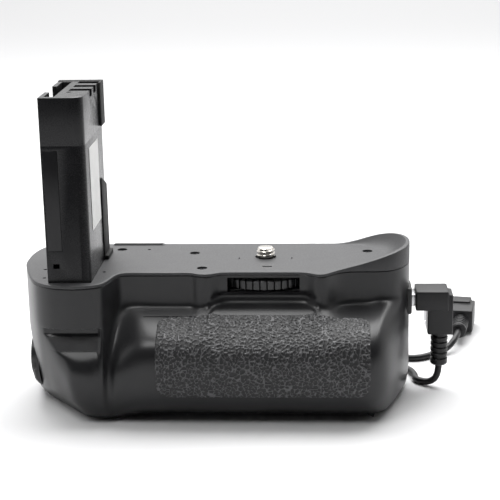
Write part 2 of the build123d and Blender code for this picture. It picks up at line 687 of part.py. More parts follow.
turn = radians(second_plug_turn)
first_plane = Plane(origin=(plug_x, jack_y, neck_z), x_dir=(1, 0, 0), z_dir=(0, 0, 1))
second_plane = Plane(origin=second_plug, x_dir=(cos(turn), -sin(turn), 0), z_dir=(sin(turn), cos(turn), 0))
for name, plane in [("first_plug", first_plane), ("second_plug", second_plane)]:
    save(plug_body(plane), name + "_body")
    save(plug_nose(plane), name + "_nose")
    save(plug_relief(plane), name + "_relief")


# The cord leaves the first relief downwards, lies on the floor in a long loop behind the housing and
# comes back to the second plug. Its points are set by hand.
lie_z = base_z + cord_r
second_end = second_plane.from_local_coords((0, 0, -relief_l))
second_near = second_plane.from_local_coords((0, 0, -relief_l - 6.0))
cord_points = [
    (plug_x, jack_y, neck_z - relief_l), (plug_x, jack_y, -43.2), (56.6, 0.6, -46.2), (51.9, 4.0, lie_z),
    (52.2, 9.0, lie_z), (50.0, 15.5, lie_z), (43.5, 20.2, lie_z), (34.0, 21.5, lie_z), (18.0, 22.0, lie_z),
    (-9.4, 22.6, lie_z), (-15.8, 29.0, lie_z), (-15.8, 38.2, lie_z), (-9.4, 44.6, lie_z),
    (5.0, 44.2, lie_z), (20.0, 41.8, lie_z), (34.0, 36.5, lie_z), (44.5, 28.5, lie_z),
    (52.6, 25.2, lie_z), (59.3, 29.0, -46.3), (65.6, 33.6, -45.6), tuple(second_near), tuple(second_end),
]


def corner_radii(points):
    """The largest arc that each corner's two runs allow."""
    radii = []
    for before, here, after in zip(points, points[1:], points[2:]):
        run_in = Vector(*here) - Vector(*before)
        run_out = Vector(*after) - Vector(*here)
        half_turn = radians(run_in.get_angle(run_out)) / 2
        radii.append(0.45 * min(run_in.length, run_out.length) / tan(half_turn))
    return radii


radii = corner_radii(cord_points)
with BuildPart() as link_cord:
    with BuildLine() as route:
        FilletPolyline(*cord_points, radius=radii)
    with BuildSketch(Plane(origin=cord_points[0], x_dir=(1, 0, 0), z_dir=(0, 0, -1))):
        Circle(cord_r)
    sweep(path=route.wires()[0])
save(link_cord, "link_cord")

cord_length = sum(edge.length for edge in route.edges())
print("cord radii", [round(r, 1) for r in radii])
print("cord length", round(cord_length, 1), "tube volume", round(link_cord.part.volume, 1),
      "section times length", round(pi * cord_r**2 * cord_length, 1))
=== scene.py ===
import math

import bmesh
import bpy
from mathutils import Matrix, Vector, noise
from mathutils.bvhtree import BVHTree


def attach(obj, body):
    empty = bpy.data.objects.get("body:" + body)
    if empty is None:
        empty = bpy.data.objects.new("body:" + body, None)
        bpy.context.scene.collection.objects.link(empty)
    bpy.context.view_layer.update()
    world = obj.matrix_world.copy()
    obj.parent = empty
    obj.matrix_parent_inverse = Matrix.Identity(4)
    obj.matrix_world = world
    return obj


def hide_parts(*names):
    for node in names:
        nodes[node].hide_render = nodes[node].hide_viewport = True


# A vertical grip for a small camera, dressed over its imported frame. Metres, +Z up, front towards -Y.
# Sizes are written in millimetres and turned into metres by mm().

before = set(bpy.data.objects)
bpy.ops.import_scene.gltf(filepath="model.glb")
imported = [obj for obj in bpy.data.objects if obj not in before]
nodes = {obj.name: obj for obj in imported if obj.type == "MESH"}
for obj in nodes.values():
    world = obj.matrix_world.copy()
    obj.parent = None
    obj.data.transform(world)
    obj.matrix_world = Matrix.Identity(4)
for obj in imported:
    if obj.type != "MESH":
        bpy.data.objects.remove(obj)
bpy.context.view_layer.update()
print("stage: frame loaded,", len(nodes), "nodes")


def mm(*values):
    if len(values) == 1:
        return values[0] / 1000
    return Vector(v / 1000 for v in values)


def meshOf(name, bm):
    mesh = bpy.data.meshes.new(name)
    bm.to_mesh(mesh)
    bm.free()
    return mesh


def linked(name, data):
    made = bpy.data.objects.new(name, data)
    bpy.context.scene.collection.objects.link(made)
    return made


# Materials: sockets with operators, and one method that makes a node
class Socket:
    def __init__(self, maker, socket):
        self.maker = maker
        self.socket = socket

    def math(self, operation, other):
        return self.maker.node("ShaderNodeMath", {"operation": operation}, {0: self, 1: other})

    def __add__(self, other):
        return self.math("ADD", other)

    __radd__ = __add__

    def __sub__(self, other):
        return self.math("SUBTRACT", other)

    def __mul__(self, other):
        return self.math("MULTIPLY", other)

    def between(self, low, high):
        return self.maker.node("ShaderNodeMapRange", {"interpolation_type": "SMOOTHSTEP"},
                               {"Value": self, "From Min": low, "From Max": high})


class Maker:
    def __init__(self, name):
        self.material = bpy.data.materials.new(name)
        self.material.use_nodes = True
        self.tree = self.material.node_tree
        self.tree.nodes.clear()
        self.shader = self.tree.nodes.new("ShaderNodeBsdfPrincipled")
        out = self.tree.nodes.new("ShaderNodeOutputMaterial")
        self.tree.links.new(self.shader.outputs[0], out.inputs[0])

    def feed(self, target, value):
        if isinstance(value, Socket):
            self.tree.links.new(value.socket, target)
        else:
            target.default_value = value

    def node(self, kind, settings=None, values=None, output=0):
        made = self.tree.nodes.new(kind)
        for key, value in (settings or {}).items():
            setattr(made, key, value)
        for key, value in (values or {}).items():
            self.feed(made.inputs[key], value)
        return Socket(self, made.outputs[output])

    def noise(self, scale, detail, rough, stretch=(1, 1, 1)):
        place = self.node("ShaderNodeTexCoord", output=3)
        place = self.node("ShaderNodeMapping", None, {"Vector": place, "Scale": stretch})
        return self.node("ShaderNodeTexNoise", None,
                         {"Vector": place, "Scale": scale, "Detail": detail, "Roughness": rough})

    def mixed(self, factor, first, second):
        return self.node("ShaderNodeMix", {"data_type": "RGBA"},
                         {0: factor, 6: (*first, 1), 7: (*second, 1)}, output=2)

    def bump(self, height, distance):
        return self.node("ShaderNodeBump", None, {"Height": height, "Distance": distance, "Strength": 1.0})

    def finish(self, **sockets):
        for name, value in sockets.items():
            self.feed(self.shader.inputs[name.replace("_", " ")], value)
        return self.material


cloudSet = {"plastic": 90, "metal": 160, "low": 0.3, "high": 0.7}  # the wide soft change of shade


def mouldedPlastic(name, dark, light, rough, grain=0.00003, grainScale=2600, spread=0.09, specular=0.5):
    make = Maker(name)
    fine = make.noise(grainScale, 3.0, 0.6)
    cloud = make.noise(cloudSet["plastic"], 3.0, 0.55)
    return make.finish(
        Base_Color=make.mixed(cloud.between(cloudSet["low"], cloudSet["high"]), dark, light),
        Roughness=rough + (fine - 0.5) * spread + (cloud - 0.5) * spread,
        Specular_IOR_Level=specular,
        Normal=make.bump(fine, grain))


metalSet = {"grainScale": 1200, "darker": 0.88, "spread": 0.12, "grain": 0.000006}


def metal(name, colour, rough, stretch=(1, 1, 1)):
    make = Maker(name)
    fine = make.noise(metalSet["grainScale"], 2.0, 0.5, stretch)
    cloud = make.noise(cloudSet["metal"], 2.0, 0.5)
    darker = tuple(c * metalSet["darker"] for c in colour)
    return make.finish(
        Base_Color=make.mixed(cloud.between(cloudSet["low"], cloudSet["high"]), darker, colour),
        Metallic=1.0,
        Roughness=rough + (fine - 0.5) * metalSet["spread"],
        Normal=make.bump(fine, metalSet["grain"]))


rubberSet = {
    # high is the ridges' colour, much lighter than the cells' low: a painted highlight on the ridges
    "low": (0.011, 0.011, 0.012), "high": (0.085, 0.085, 0.088), "roughLow": 0.55, "roughHigh": 0.38,
    "grainScale": 3200, "grain": 0.00002, "spread": 0.1,
}


def rubberMaterial(name, s):
    # the ridges round the pad's cells are smoother than the cells, and are painted lighter as a painted
    # highlight on them
    make = Maker(name)
    ridge = make.node("ShaderNodeAttribute", {"attribute_name": "ridge"}, output=2)
    fine = make.noise(s["grainScale"], 2.0, 0.6)
    rough = s["roughLow"] + ridge * (s["roughHigh"] - s["roughLow"]) + (fine - 0.5) * s["spread"]
    return make.finish(Base_Color=make.mixed(ridge.between(0.1, 0.9), s["low"], s["high"]), Roughness=rough,
                       Normal=make.bump(fine, s["grain"]))


bodyPlastic = mouldedPlastic("bodyPlastic", (0.011, 0.011, 0.012), (0.015, 0.015, 0.016), 0.34,
                             grain=0.000004, specular=0.4)
coverPlastic = mouldedPlastic("coverPlastic", (0.034, 0.034, 0.036), (0.046, 0.046, 0.048), 0.52,
                              grain=0.00005, grainScale=1500, spread=0.3)
scoopPlastic = mouldedPlastic("scoopPlastic", (0.03, 0.03, 0.031), (0.044, 0.044, 0.045), 0.5,
                              grain=0.00004, grainScale=1800, spread=0.3, specular=0.4)
towerPlastic = mouldedPlastic("towerPlastic", (0.009, 0.009, 0.01), (0.012, 0.012, 0.013), 0.27,
                              grain=0.000003, specular=0.25)
stripPlastic = mouldedPlastic("stripPlastic", (0.011, 0.011, 0.012), (0.014, 0.014, 0.015), 0.22,
                              grain=0.000002, specular=0.25)
flangePlastic = mouldedPlastic("flangePlastic", (0.004, 0.004, 0.004), (0.007, 0.007, 0.007), 0.75)
wheelPlastic = mouldedPlastic("wheelPlastic", (0.018, 0.018, 0.019), (0.026, 0.026, 0.027), 0.34,
                              grain=0.000003)
plugPlastic = mouldedPlastic("plugPlastic", (0.012, 0.012, 0.013), (0.017, 0.017, 0.018), 0.42,
                             grain=0.000008, specular=0.32)
cordRubber = mouldedPlastic("cordRubber", (0.009, 0.009, 0.01), (0.013, 0.013, 0.014), 0.4,
                            grain=0.00001, specular=0.35)
innerPlastic = mouldedPlastic("innerPlastic", (0.02, 0.02, 0.021), (0.028, 0.028, 0.029), 0.5)
cellWrap = mouldedPlastic("cellWrap", (0.07, 0.072, 0.08), (0.09, 0.092, 0.1), 0.35)
labelFilm = mouldedPlastic("labelFilm", (0.58, 0.58, 0.57), (0.66, 0.66, 0.65), 0.45, grain=0.000006)
boardLaminate = mouldedPlastic("boardLaminate", (0.01, 0.07, 0.03), (0.015, 0.1, 0.045), 0.35)
padRubber = rubberMaterial("padRubber", rubberSet)
screwNickel = metal("screwNickel", (0.82, 0.79, 0.74), 0.2)
springSteel = metal("springSteel", (0.55, 0.55, 0.56), 0.35, stretch=(0.2, 1, 1))
blackSteel = metal("blackSteel", (0.06, 0.06, 0.065), 0.4)
contactBrass = metal("contactBrass", (0.86, 0.66, 0.34), 0.28)
print("stage: materials made")


# Camera, floor and light
cameraSet = {
    "place": mm(22.21, -451.13, 127.72), "yaw": -3.5, "pitch": 15.503, "roll": -1.073,
    "focalPixels": 1366.0, "imagePixels": 500.0, "sensor": 36.0, "clip": (0.01, 20),
}


def addCamera(s):
    yaw, pitch, roll = (math.radians(s[k]) for k in ("yaw", "pitch", "roll"))
    ahead = Vector((math.sin(yaw) * math.cos(pitch), math.cos(yaw) * math.cos(pitch), -math.sin(pitch)))
    level = Vector((math.cos(yaw), -math.sin(yaw), 0))
    upright = level.cross(ahead)
    side = level * math.cos(roll) + upright * math.sin(roll)
    top = upright * math.cos(roll) - level * math.sin(roll)
    data = bpy.data.cameras.new("photoCamera")
    data.sensor_fit = "HORIZONTAL"
    data.sensor_width = s["sensor"]
    data.lens = s["focalPixels"] / s["imagePixels"] * s["sensor"]
    data.clip_start, data.clip_end = s["clip"]
    camera = linked("photoCamera", data)
    camera.matrix_world = Matrix.Translation(s["place"]) @ Matrix((side, top, -ahead)).transposed().to_4x4()
    bpy.context.scene.camera = camera


stageSet = {"floorZ": -47.55, "floorHalf": 2500, "white": (0.68, 0.68, 0.685)}


def addStage(s):
    bm = bmesh.new()
    bmesh.ops.create_grid(bm, x_segments=1, y_segments=1, size=mm(s["floorHalf"]))
    bmesh.ops.translate(bm, vec=mm(0, 0, s["floorZ"]), verts=bm.verts)
    floor = linked("studioFloor", meshOf("studioFloor", bm))
    white = Maker("studioWhite").finish(Base_Color=(*s["white"], 1), Roughness=0.9, Specular_IOR_Level=0.1)
    floor.data.materials.append(white)


lights = {
    "overSoft": {"place": (0.02, 0.28, 0.74), "aim": (0, 0, 0), "size": (1.0, 0.56), "power": 11.5},
    "frontSoft": {"place": (-0.25, -0.33, 0.68), "aim": (-0.06, -0.035, -0.02), "size": (0.28, 0.28),
                  "power": 2.2},
    "farSoft": {"place": (0, 1.7, 1.2), "aim": (0, 1.5, 0), "size": (2.0, 1.0), "power": 18.0},
    "leftSoft": {"place": (-0.9, 0, 0.3), "aim": (0, 0, 0), "size": (0.5, 0.7), "power": 1.5},
}


def addLight(name, s):
    data = bpy.data.lights.new(name, "AREA")
    data.shape = "RECTANGLE"
    data.size, data.size_y = s["size"]
    data.energy = s["power"]
    lamp = linked(name, data)
    lamp.location = s["place"]
    lamp.rotation_euler = (Vector(s["aim"]) - Vector(s["place"])).to_track_quat("-Z", "Y").to_euler()


worldSet = {"front": 0.03, "back": 0.9, "from": (-0.5, 0.4)}


def addWorld(s):
    # the room is dark on the camera's side and white behind the object
    world = bpy.data.worlds.new("studioAir")
    bpy.context.scene.world = world
    world.use_nodes = True
    nodeTree = world.node_tree
    place = nodeTree.nodes.new("ShaderNodeTexCoord")
    split = nodeTree.nodes.new("ShaderNodeSeparateXYZ")
    nodeTree.links.new(place.outputs["Generated"], split.inputs[0])
    spread = nodeTree.nodes.new("ShaderNodeMapRange")
    spread.interpolation_type = "SMOOTHSTEP"
    spread.inputs["From Min"].default_value, spread.inputs["From Max"].default_value = s["from"]
    spread.inputs["To Min"].default_value, spread.inputs["To Max"].default_value = s["front"], s["back"]
    nodeTree.links.new(split.outputs["Y"], spread.inputs["Value"])
    background = nodeTree.nodes["Background"]
    background.inputs[0].default_value = (1, 1, 1, 1)
    nodeTree.links.new(spread.outputs[0], background.inputs[1])


addCamera(cameraSet)
addStage(stageSet)
addWorld(worldSet)
for name, settings in lights.items():
    addLight(name, settings)
bpy.context.scene.view_settings.view_transform = "Standard"
print("stage: camera, floor and light made")


# The link cord
cordSet = {
    "radius": 1.15, "floor": -46.35, "neck": (59.7, 0.0, -38.7), "length": 205.0,
    "second": (72.75, 56.2, -42.2), "turn": 10.0, "relief": 11.8, "lead": 6.0,
    "plugs": [plug + part for plug in ("first_plug_", "second_plug_") for part in ("body", "nose", "relief")],
}


def addCord(s):
    z = s["floor"]
    angle = math.radians(s["turn"])
    back = Vector((math.sin(angle), math.cos(angle), 0))
    end = Vector(s["second"]) - back * s["relief"]
    near = end - back * s["lead"]
    points = [
        s["neck"], (59.7, 0.0, -43.2), (56.6, 0.6, -46.2), (51.9, 4.0, z), (52.2, 9.0, z), (50.0, 15.5, z),
        (43.5, 20.2, z), (34.0, 21.5, z), (18.0, 22.0, z), (-9.4, 22.6, z), (-15.8, 29.0, z),
        (-15.8, 38.2, z), (-9.4, 44.6, z), (5.0, 44.2, z), (20.0, 41.8, z), (34.0, 36.5, z),
        (44.5, 28.5, z), (52.6, 25.2, z), (59.3, 29.0, -46.3), (65.6, 33.6, -45.6), near, end,
    ]
    curve = bpy.data.curves.new("linkCord", "CURVE")
    curve.dimensions = "3D"
    curve.bevel_depth = mm(s["radius"])
    curve.bevel_resolution = 6
    curve.resolution_u = 12
    curve.use_fill_caps = True
    line = curve.splines.new("NURBS")
    line.points.add(len(points) - 1)
    for point, place in zip(line.points, points):
        point.co = (*mm(*place), 1)
    line.order_u = 3
    line.use_endpoint_u = True
    cord = linked("linkCord", curve)
    curve.materials.append(cordRubber)
    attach(cord, "root")
    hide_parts("link_cord")
    mm(*s["neck"])
    mm(s["length"])
    mm(2 * s["radius"])


addCord(cordSet)
print("stage: cord laid")


# Helpers for pieces
def newPiece(name, bm, material, body="root", smoothAngle=35.0):
    mesh = meshOf(name, bm)
    mesh.materials.append(material)
    shadeByAngle(mesh, smoothAngle)
    piece = linked(name, mesh)
    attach(piece, body)
    return piece


def shadeByAngle(mesh, smoothAngle):
    mesh.polygons.foreach_set("use_smooth", [True] * len(mesh.polygons))
    mesh.set_sharp_from_angle(angle=math.radians(smoothAngle))


def bakeModifiers(piece):
    # the modifiers' result becomes the piece's own mesh
    depsgraph = bpy.context.evaluated_depsgraph_get()
    mesh = bpy.data.meshes.new_from_object(piece.evaluated_get(depsgraph))
    piece.modifiers.clear()
    piece.data = mesh


def outward(bm):
    bmesh.ops.remove_doubles(bm, verts=bm.verts, dist=mm(0.004))
    bmesh.ops.recalc_face_normals(bm, faces=bm.faces)


def addBox(bm, x, y, z):
    made = bmesh.ops.create_cube(bm, size=1.0)["verts"]
    bmesh.ops.scale(bm, vec=mm(x[1] - x[0], y[1] - y[0], z[1] - z[0]), verts=made)
    bmesh.ops.translate(bm, vec=mm((x[0] + x[1]) / 2, (y[0] + y[1]) / 2, (z[0] + z[1]) / 2), verts=made)
    return made


def turn(bm, verts, degrees, axis, centre=(0, 0, 0)):
    bmesh.ops.rotate(bm, cent=centre, matrix=Matrix.Rotation(math.radians(degrees), 3, axis), verts=verts)


def drawLine(bm, places, closed=False):
    # a chain of vertices and the edges between them
    line = [bm.verts.new(place) for place in places]
    ends = line[1:] + line[:1] if closed else line[1:]
    return line, [bm.edges.new((a, b)) for a, b in zip(line, ends)]


def addPost(bm, place, radius, low, high, alongX=False, sides=40):
    # a capped cylinder, upright or along X, between two values on its axis
    made = bmesh.ops.create_cone(bm, cap_ends=True, segments=sides, radius1=mm(radius), radius2=mm(radius),
                                 depth=mm(high - low))["verts"]
    bmesh.ops.translate(bm, vec=mm(0, 0, (low + high) / 2), verts=made)
    if alongX:
        turn(bm, made, 90, "Y")
    bmesh.ops.translate(bm, vec=mm(*place), verts=made)


def tool(build, *values, **named):
    bm = bmesh.new()
    build(bm, *values, **named)
    return bm


def cutOut(piece, cutters):
    # each cutter is a bmesh; they are cut out together, exactly
    tools = []
    for i, bm in enumerate(cutters):
        cutter = linked("cutter", meshOf("cutter", bm))
        cut = piece.modifiers.new(f"cut{i}", "BOOLEAN")
        cut.operation = "DIFFERENCE"
        cut.solver = "EXACT"
        cut.object = cutter
        tools.append(cutter)
    bakeModifiers(piece)
    for cutter in tools:
        bpy.data.objects.remove(cutter)


def growRing(bm, ring, places, closed=True):
    # extrudes a ring of vertices once and moves the new ring to its places
    ends = ring[1:] + ring[:1] if closed else ring[1:]
    edges = [bm.edges.get((a, b)) for a, b in zip(ring, ends)]
    made = bmesh.ops.extrude_edge_only(bm, edges=edges)["geom"]
    fresh = {v for v in made if isinstance(v, bmesh.types.BMVert)}
    grown = []
    for vert, place in zip(ring, places):
        partner = next(e.other_vert(vert) for e in vert.link_edges if e.other_vert(vert) in fresh)
        partner.co = place
        grown.append(partner)
    return grown


def latheInto(bm, profile, steps):
    # spins a profile of radius and height once round the upright axis
    line, edges = drawLine(bm, [mm(r, 0, z) for r, z in profile])
    bmesh.ops.spin(bm, geom=line + edges, cent=(0, 0, 0), axis=(0, 0, 1), angle=2 * math.pi, steps=steps,
                   use_merge=True, use_duplicate=False)


softSet = {"flatAngle": 1.0, "edgeAngle": 32.0, "smoothAngle": 40.0}


def softCopy(nodeName, name, material, body, width, segments, slotName):
    # a merged copy of a CAD node with its edges rounded
    bm = bmesh.new()
    bm.from_mesh(nodes[nodeName].data)
    outward(bm)
    bmesh.ops.dissolve_limit(bm, angle_limit=math.radians(softSet["flatAngle"]), verts=bm.verts,
                             edges=bm.edges)
    piece = newPiece(name, bm, material, body)
    bevel = piece.modifiers.new("rounded", "BEVEL")
    bevel.width = mm(width)
    bevel.segments = segments
    bevel.limit_method = "ANGLE"
    bevel.angle_limit = math.radians(softSet["edgeAngle"])
    bevel.use_clamp_overlap = True
    bakeModifiers(piece)
    shadeByAngle(piece.data, softSet["smoothAngle"])
    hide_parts(nodeName)


# The housing: sections along X, each a line of points from the plate's edge down the front, under the
# base and up the back. Subdivision then draws the soft skin through them.
housing = {
    "baseZ": -47.5, "coverZ": -1.0, "floorZ": -45.3, "seamY": 6.0, "rearY": 17.2, "topZ": 3.0,
    "wall": 1.5, "seamGap": 0.08, "chamfer": 0.22, "tuck": 0.6, "levels": 3, "smoothAngle": 40.0,
}
rowZ = [-4, -12, -14, -15.2, -16.6, -18.5, -21.5, -25, -29, -33.5, -38.5, -43, -47.5]
handleFront = [(-36.2, -20.2), (-37.7, -25), (-37.9, -31), (-37.3, -37), (-34.6, -42.4), (-29.5, -46.2),
               (-22.6, -47.5)]


def section(x, front, rear=housing["rearY"], low=housing["baseZ"]):
    return x, rear, low, front


def leftEnd(x, rear, low, ys):
    return section(x, [(y, z * low / housing["baseZ"]) for y, z in zip(ys, rowZ)], rear, low)


def lobe(x, edge, rows):
    # the wall, its lip and what lies below it
    return section(x, [(edge, -4), (edge + 0.05, -13.3), (edge, -14.4)] + rows + [(rows[-1][0] + 3.2, -47.5)])


def handle(x, edge, rear=housing["rearY"]):
    return section(x, [(edge, -4), (edge, -10.3), (edge - 0.5, -11.9), (edge - 2.4, -12.8), (-27.2, -15),
                       (-32.6, -17.3)] + handleFront, rear)


def scoop(x, edge, deep):
    # under the wheel the wall goes in, and comes out again in a rounded rim
    rim = -11.6
    return section(x, [(edge, -4), (edge, -6.9), (edge + 1.3 * deep, -8.6 + 0.6 * deep),
                       (edge + 0.6 * deep, rim + 0.9), (edge - 1.4 - 0.6 * deep, rim),
                       (edge - 3.6 - 0.4 * deep, rim - 0.35)] + handleFront)


def rightEnd(x, rear, low, edge, rows):
    return section(x, [(edge, -4)] + rows, rear, low)


sections = [
    leftEnd(-81.9, 3.0, -40.0, [-6.5] * 9 + [-6.2, -5.4, -4, -2]),
    leftEnd(-81.0, 8.5, -43.5, [-10] * 8 + [-9.9, -9.6, -8.8, -6.8, -3.2]),
    leftEnd(-79.6, 12.6, -46.0, [-15] * 7 + [-14.9, -14.7, -14.1, -12.8, -10.2, -5.6]),
    leftEnd(-77.5, 14.8, -47.0, [-21.9, -21.9, -21.9, -21.8, -21.7, -21.5, -21.1, -20.5, -19.6, -18.2, -15.9,
        -12.6, -8]),
    leftEnd(-74.8, 16.4, -47.5, [-28.3, -28.3, -28.3, -28.2, -28, -27.6, -26.9, -25.9, -24.5, -22.7, -20.2,
        -17.2, -13.4]),
    leftEnd(-72.4, 17.2, -47.5, [-31, -31, -31, -30.9, -30.7, -30.3, -29.6, -28.6, -27.2, -25.4, -23, -20.4,
        -17]),
    lobe(-70.6, -32.4, [(-32.4, -15.4), (-32.4, -16.8), (-32.2, -18.6), (-31.6, -21.4), (-30.6, -25),
        (-29.2, -29.4), (-27.4, -34.4), (-25, -39.6), (-22.2, -44)]),
    lobe(-68.6, -33.6, [(-33.7, -15.4), (-33.8, -17), (-33.8, -18.8), (-33.6, -21.4), (-32.9, -24.6),
        (-31.5, -29), (-29.8, -34.4), (-27.4, -40), (-24.4, -44.2)]),
    lobe(-66.0, -34.4, [(-34.6, -15.4), (-34.8, -17), (-35.1, -19.2), (-35.3, -21.8), (-35.2, -24.9),
        (-34.3, -29.6), (-32.5, -35), (-30, -40.8), (-26.6, -44.8)]),
    lobe(-63.4, -34.9, [(-35.0, -15.4), (-35.1, -17.2), (-35.2, -19.8), (-35.5, -22.6), (-36.2, -25.2),
        (-37.4, -29.6), (-35.8, -36), (-32.8, -41.8), (-29, -45.6)]),
    lobe(-61.6, -35.1, [(-35.2, -15.4), (-35.3, -17.2), (-35.4, -20), (-35.7, -22.8), (-36.6, -25.2),
        (-38.4, -29.6), (-37.1, -36.8), (-34.4, -42.2), (-30.7, -45.9)]),
    lobe(-58.5, -34.9, [(-35.0, -15.4), (-35.1, -17.2), (-35.3, -20), (-35.7, -22.8), (-36.7, -25.2),
        (-38.6, -29.8), (-37.7, -37.4), (-35.4, -42.6), (-32.4, -46.2)]),
    lobe(-55.0, -34.0, [(-34.1, -15.4), (-34.3, -17.2), (-34.8, -20), (-35.4, -22.8), (-36.6, -25.2),
        (-38.4, -30), (-37.6, -37.4), (-35.6, -42.6), (-33.4, -46.2)]),
    lobe(-53.3, -33.1, [(-33.2, -15.4), (-33.5, -17.2), (-34.3, -20.2), (-35.4, -23), (-36.7, -25.8),
        (-37.6, -31), (-37.1, -37.4), (-35.3, -42.6), (-33.4, -46.2)]),
    lobe(-52.1, -32.2, [(-32.4, -15.6), (-33.3, -17.6), (-34.8, -20.8), (-36, -24), (-36.9, -27.4),
        (-37.2, -32), (-36.9, -37.4), (-35.3, -42.6), (-33.4, -46.2)]),
    lobe(-50.9, -30.4, [(-30.6, -15.8), (-31.2, -18), (-32.3, -21.2), (-33.4, -24.6), (-34.4, -28.2),
        (-35.2, -32.4), (-35.6, -37.4), (-34.6, -42.6), (-33.2, -46.2)]),
    section(-49.7, [(-25.9, -4), (-26, -11.6), (-26.4, -13.4), (-27, -15.2), (-28.4, -18), (-30.4, -21.4),
        (-32.3, -24.8), (-34, -28.4), (-35, -32.6), (-35.4, -37.5), (-34.3, -42.6), (-32.6, -46.2),
        (-29.6, -47.5)]),
    section(-48.4, [(-20.4, -4), (-20.6, -10.8), (-21.6, -12.6), (-23.6, -14.4), (-26.6, -17.2), (-30, -21),
        (-33, -24.6), (-35.2, -28.3), (-36.1, -32.5), (-36.1, -37.5), (-34.6, -42.6), (-32.2, -46.2),
        (-28.4, -47.5)]),
    section(-45.4, [(-19.3, -4), (-19.3, -10.3), (-20.1, -12.1), (-22.7, -13.6), (-26.8, -16.3),
        (-31.1, -19.9), (-34.4, -23.3), (-36.6, -27), (-37.1, -31.6), (-36.8, -37), (-34.9, -42.5),
        (-31.4, -46.2), (-26.4, -47.5)]),
    section(-41.2, [(-19.5, -4), (-19.5, -10), (-20.2, -11.8), (-22.6, -12.9), (-27.2, -14.8), (-31.9, -17.6),
        (-35.5, -21), (-37.3, -25.4), (-37.6, -31), (-37.1, -37), (-34.8, -42.4), (-30.4, -46.2),
        (-24, -47.5)]),
    handle(-37.0, -19.5),
    handle(-30.0, -19.5),
    handle(-24.6, -19.4),
    handle(-23.2, -19.9),
    handle(-21.6, -21.0),
    handle(-19.2, -21.5),
    scoop(-17.2, -21.0, 0.35),
    scoop(-15.2, -19.6, 0.8),
    scoop(-13.4, -18.9, 1.0),
    scoop(-7.0, -18.9, 1.0),
    scoop(7.0, -18.9, 1.0),
    scoop(13.4, -18.9, 1.0),
    scoop(15.2, -19.8, 0.8),
    scoop(17.2, -21.4, 0.35),
    handle(19.4, -21.8),
    handle(21.4, -20.6),
    handle(23.6, -17.8),
    handle(27.0, -15.4),
    handle(31.5, -15.0),
    handle(35.4, -15.1, rear=17.1),
    rightEnd(38.2, 16.5, -47.5, -15.0, [(-15, -9.9), (-15.8, -11.4), (-19.4, -12.2), (-26.4, -14),
        (-31.8, -16.8), (-34.9, -20.4), (-36.3, -25), (-36.4, -31), (-35.8, -37), (-33, -42.4), (-28.6, -46),
        (-24, -47.5)]),
    rightEnd(40.8, 15.2, -47.5, -14.5, [(-14.6, -9.8), (-15.2, -11.2), (-18.4, -12.2), (-24, -14.4),
        (-28.8, -17.8), (-31.8, -21.8), (-33.4, -26), (-33.6, -31.4), (-32.8, -37), (-29.8, -42.4),
        (-25.6, -46), (-21.8, -47.5)]),
    rightEnd(43.2, 13.6, -47.5, -13.3, [(-13.5, -9.8), (-14, -11.2), (-16.4, -12.6), (-20.6, -15.4),
        (-24.4, -19), (-27, -23), (-28.2, -27.2), (-28.2, -32), (-27, -37), (-23.8, -42.4), (-19.2, -46),
        (-14.4, -47.5)]),
    rightEnd(45.6, 11.2, -47.5, -11.1, [(-11.3, -9.8), (-11.8, -11.4), (-13.4, -13.2), (-16, -16),
        (-18.6, -19.6), (-20.6, -23.6), (-21.4, -27.8), (-21.2, -32.4), (-19.8, -37), (-16.4, -42.2),
        (-11.6, -45.8), (-6, -47.5)]),
    rightEnd(47.7, 8.2, -47.3, -7.6, [(-7.9, -10), (-8.4, -12), (-9.2, -13.8), (-10.4, -16.4), (-11.8, -19.8),
        (-12.8, -23.8), (-13.3, -28), (-12.9, -32.6), (-11.6, -37), (-8.6, -41.8), (-4.6, -45.2),
        (0, -47.3)]),
    rightEnd(49.2, 3.6, -45.2, -2.4, [(-2.5, -10), (-2.7, -12), (-2.9, -14), (-3.2, -16.6), (-3.6, -20),
        (-4, -24), (-4.2, -28), (-4, -32.4), (-3.2, -36.6), (-1.6, -40.6), (0.2, -43.4), (1.2, -45.2)]),
]


def sectionLine(x, rear, low, front, s):
    # the whole line of one section, from above the plate round to above the plate
    back = [(front[-1][0] + (rear - front[-1][0]) * 0.25, low), (rear - (rear - front[-1][0]) * 0.22, low),
            (rear - 0.5, low + 0.3), (rear, low + 2.5), (rear, -32 * low / s["baseZ"]),
            (rear, -14), (rear, -4), (rear, s["topZ"])]
    return [mm(x, y, z) for y, z in [(front[0][0], s["topZ"])] + front + back]


# The finger scoop in the lobe, as a line of heights and depths, and the flat on the lobe's low corner
scoopCut = {
    "line": [(-14.3, -38.0), (-15.2, -31.6), (-17.2, -31.2), (-18.1, -32.0), (-22.5, -34.3), (-24.9, -36.5),
             (-26.0, -37.7), (-27.5, -40.0)],
    "panel": ((-76, -52.6), (-34.4, -31.9), (-22.5, -18.1)), "right": (-54.0, -52.2), "behind": -20,
    "round": 0.5, "wall": 1.2,
}
facet = {"place": (-66.5, -30.6, -39.4), "facing": (-0.60, -0.50, -0.62), "round": 0.2, "wall": 1.2,
         "rightX": -50, "topZ": -30}


def smoothStep(value, low, high):
    t = min(1.0, max(0.0, (value - low) / (high - low)))
    return t * t * (3 - 2 * t)


def lineAt(line, z):
    # the value on a broken line that runs down, at a height
    for (highZ, highY), (lowZ, lowY) in zip(line, line[1:]):
        if highZ >= z >= lowZ:
            return highY + (lowY - highY) * (highZ - z) / (highZ - lowZ)
    return None


def softened(deep, radius):
    # the depth where it is positive, and 0 elsewhere, with a rounded change between them
    return 0.5 * (deep + math.sqrt(deep * deep + radius ** 2))


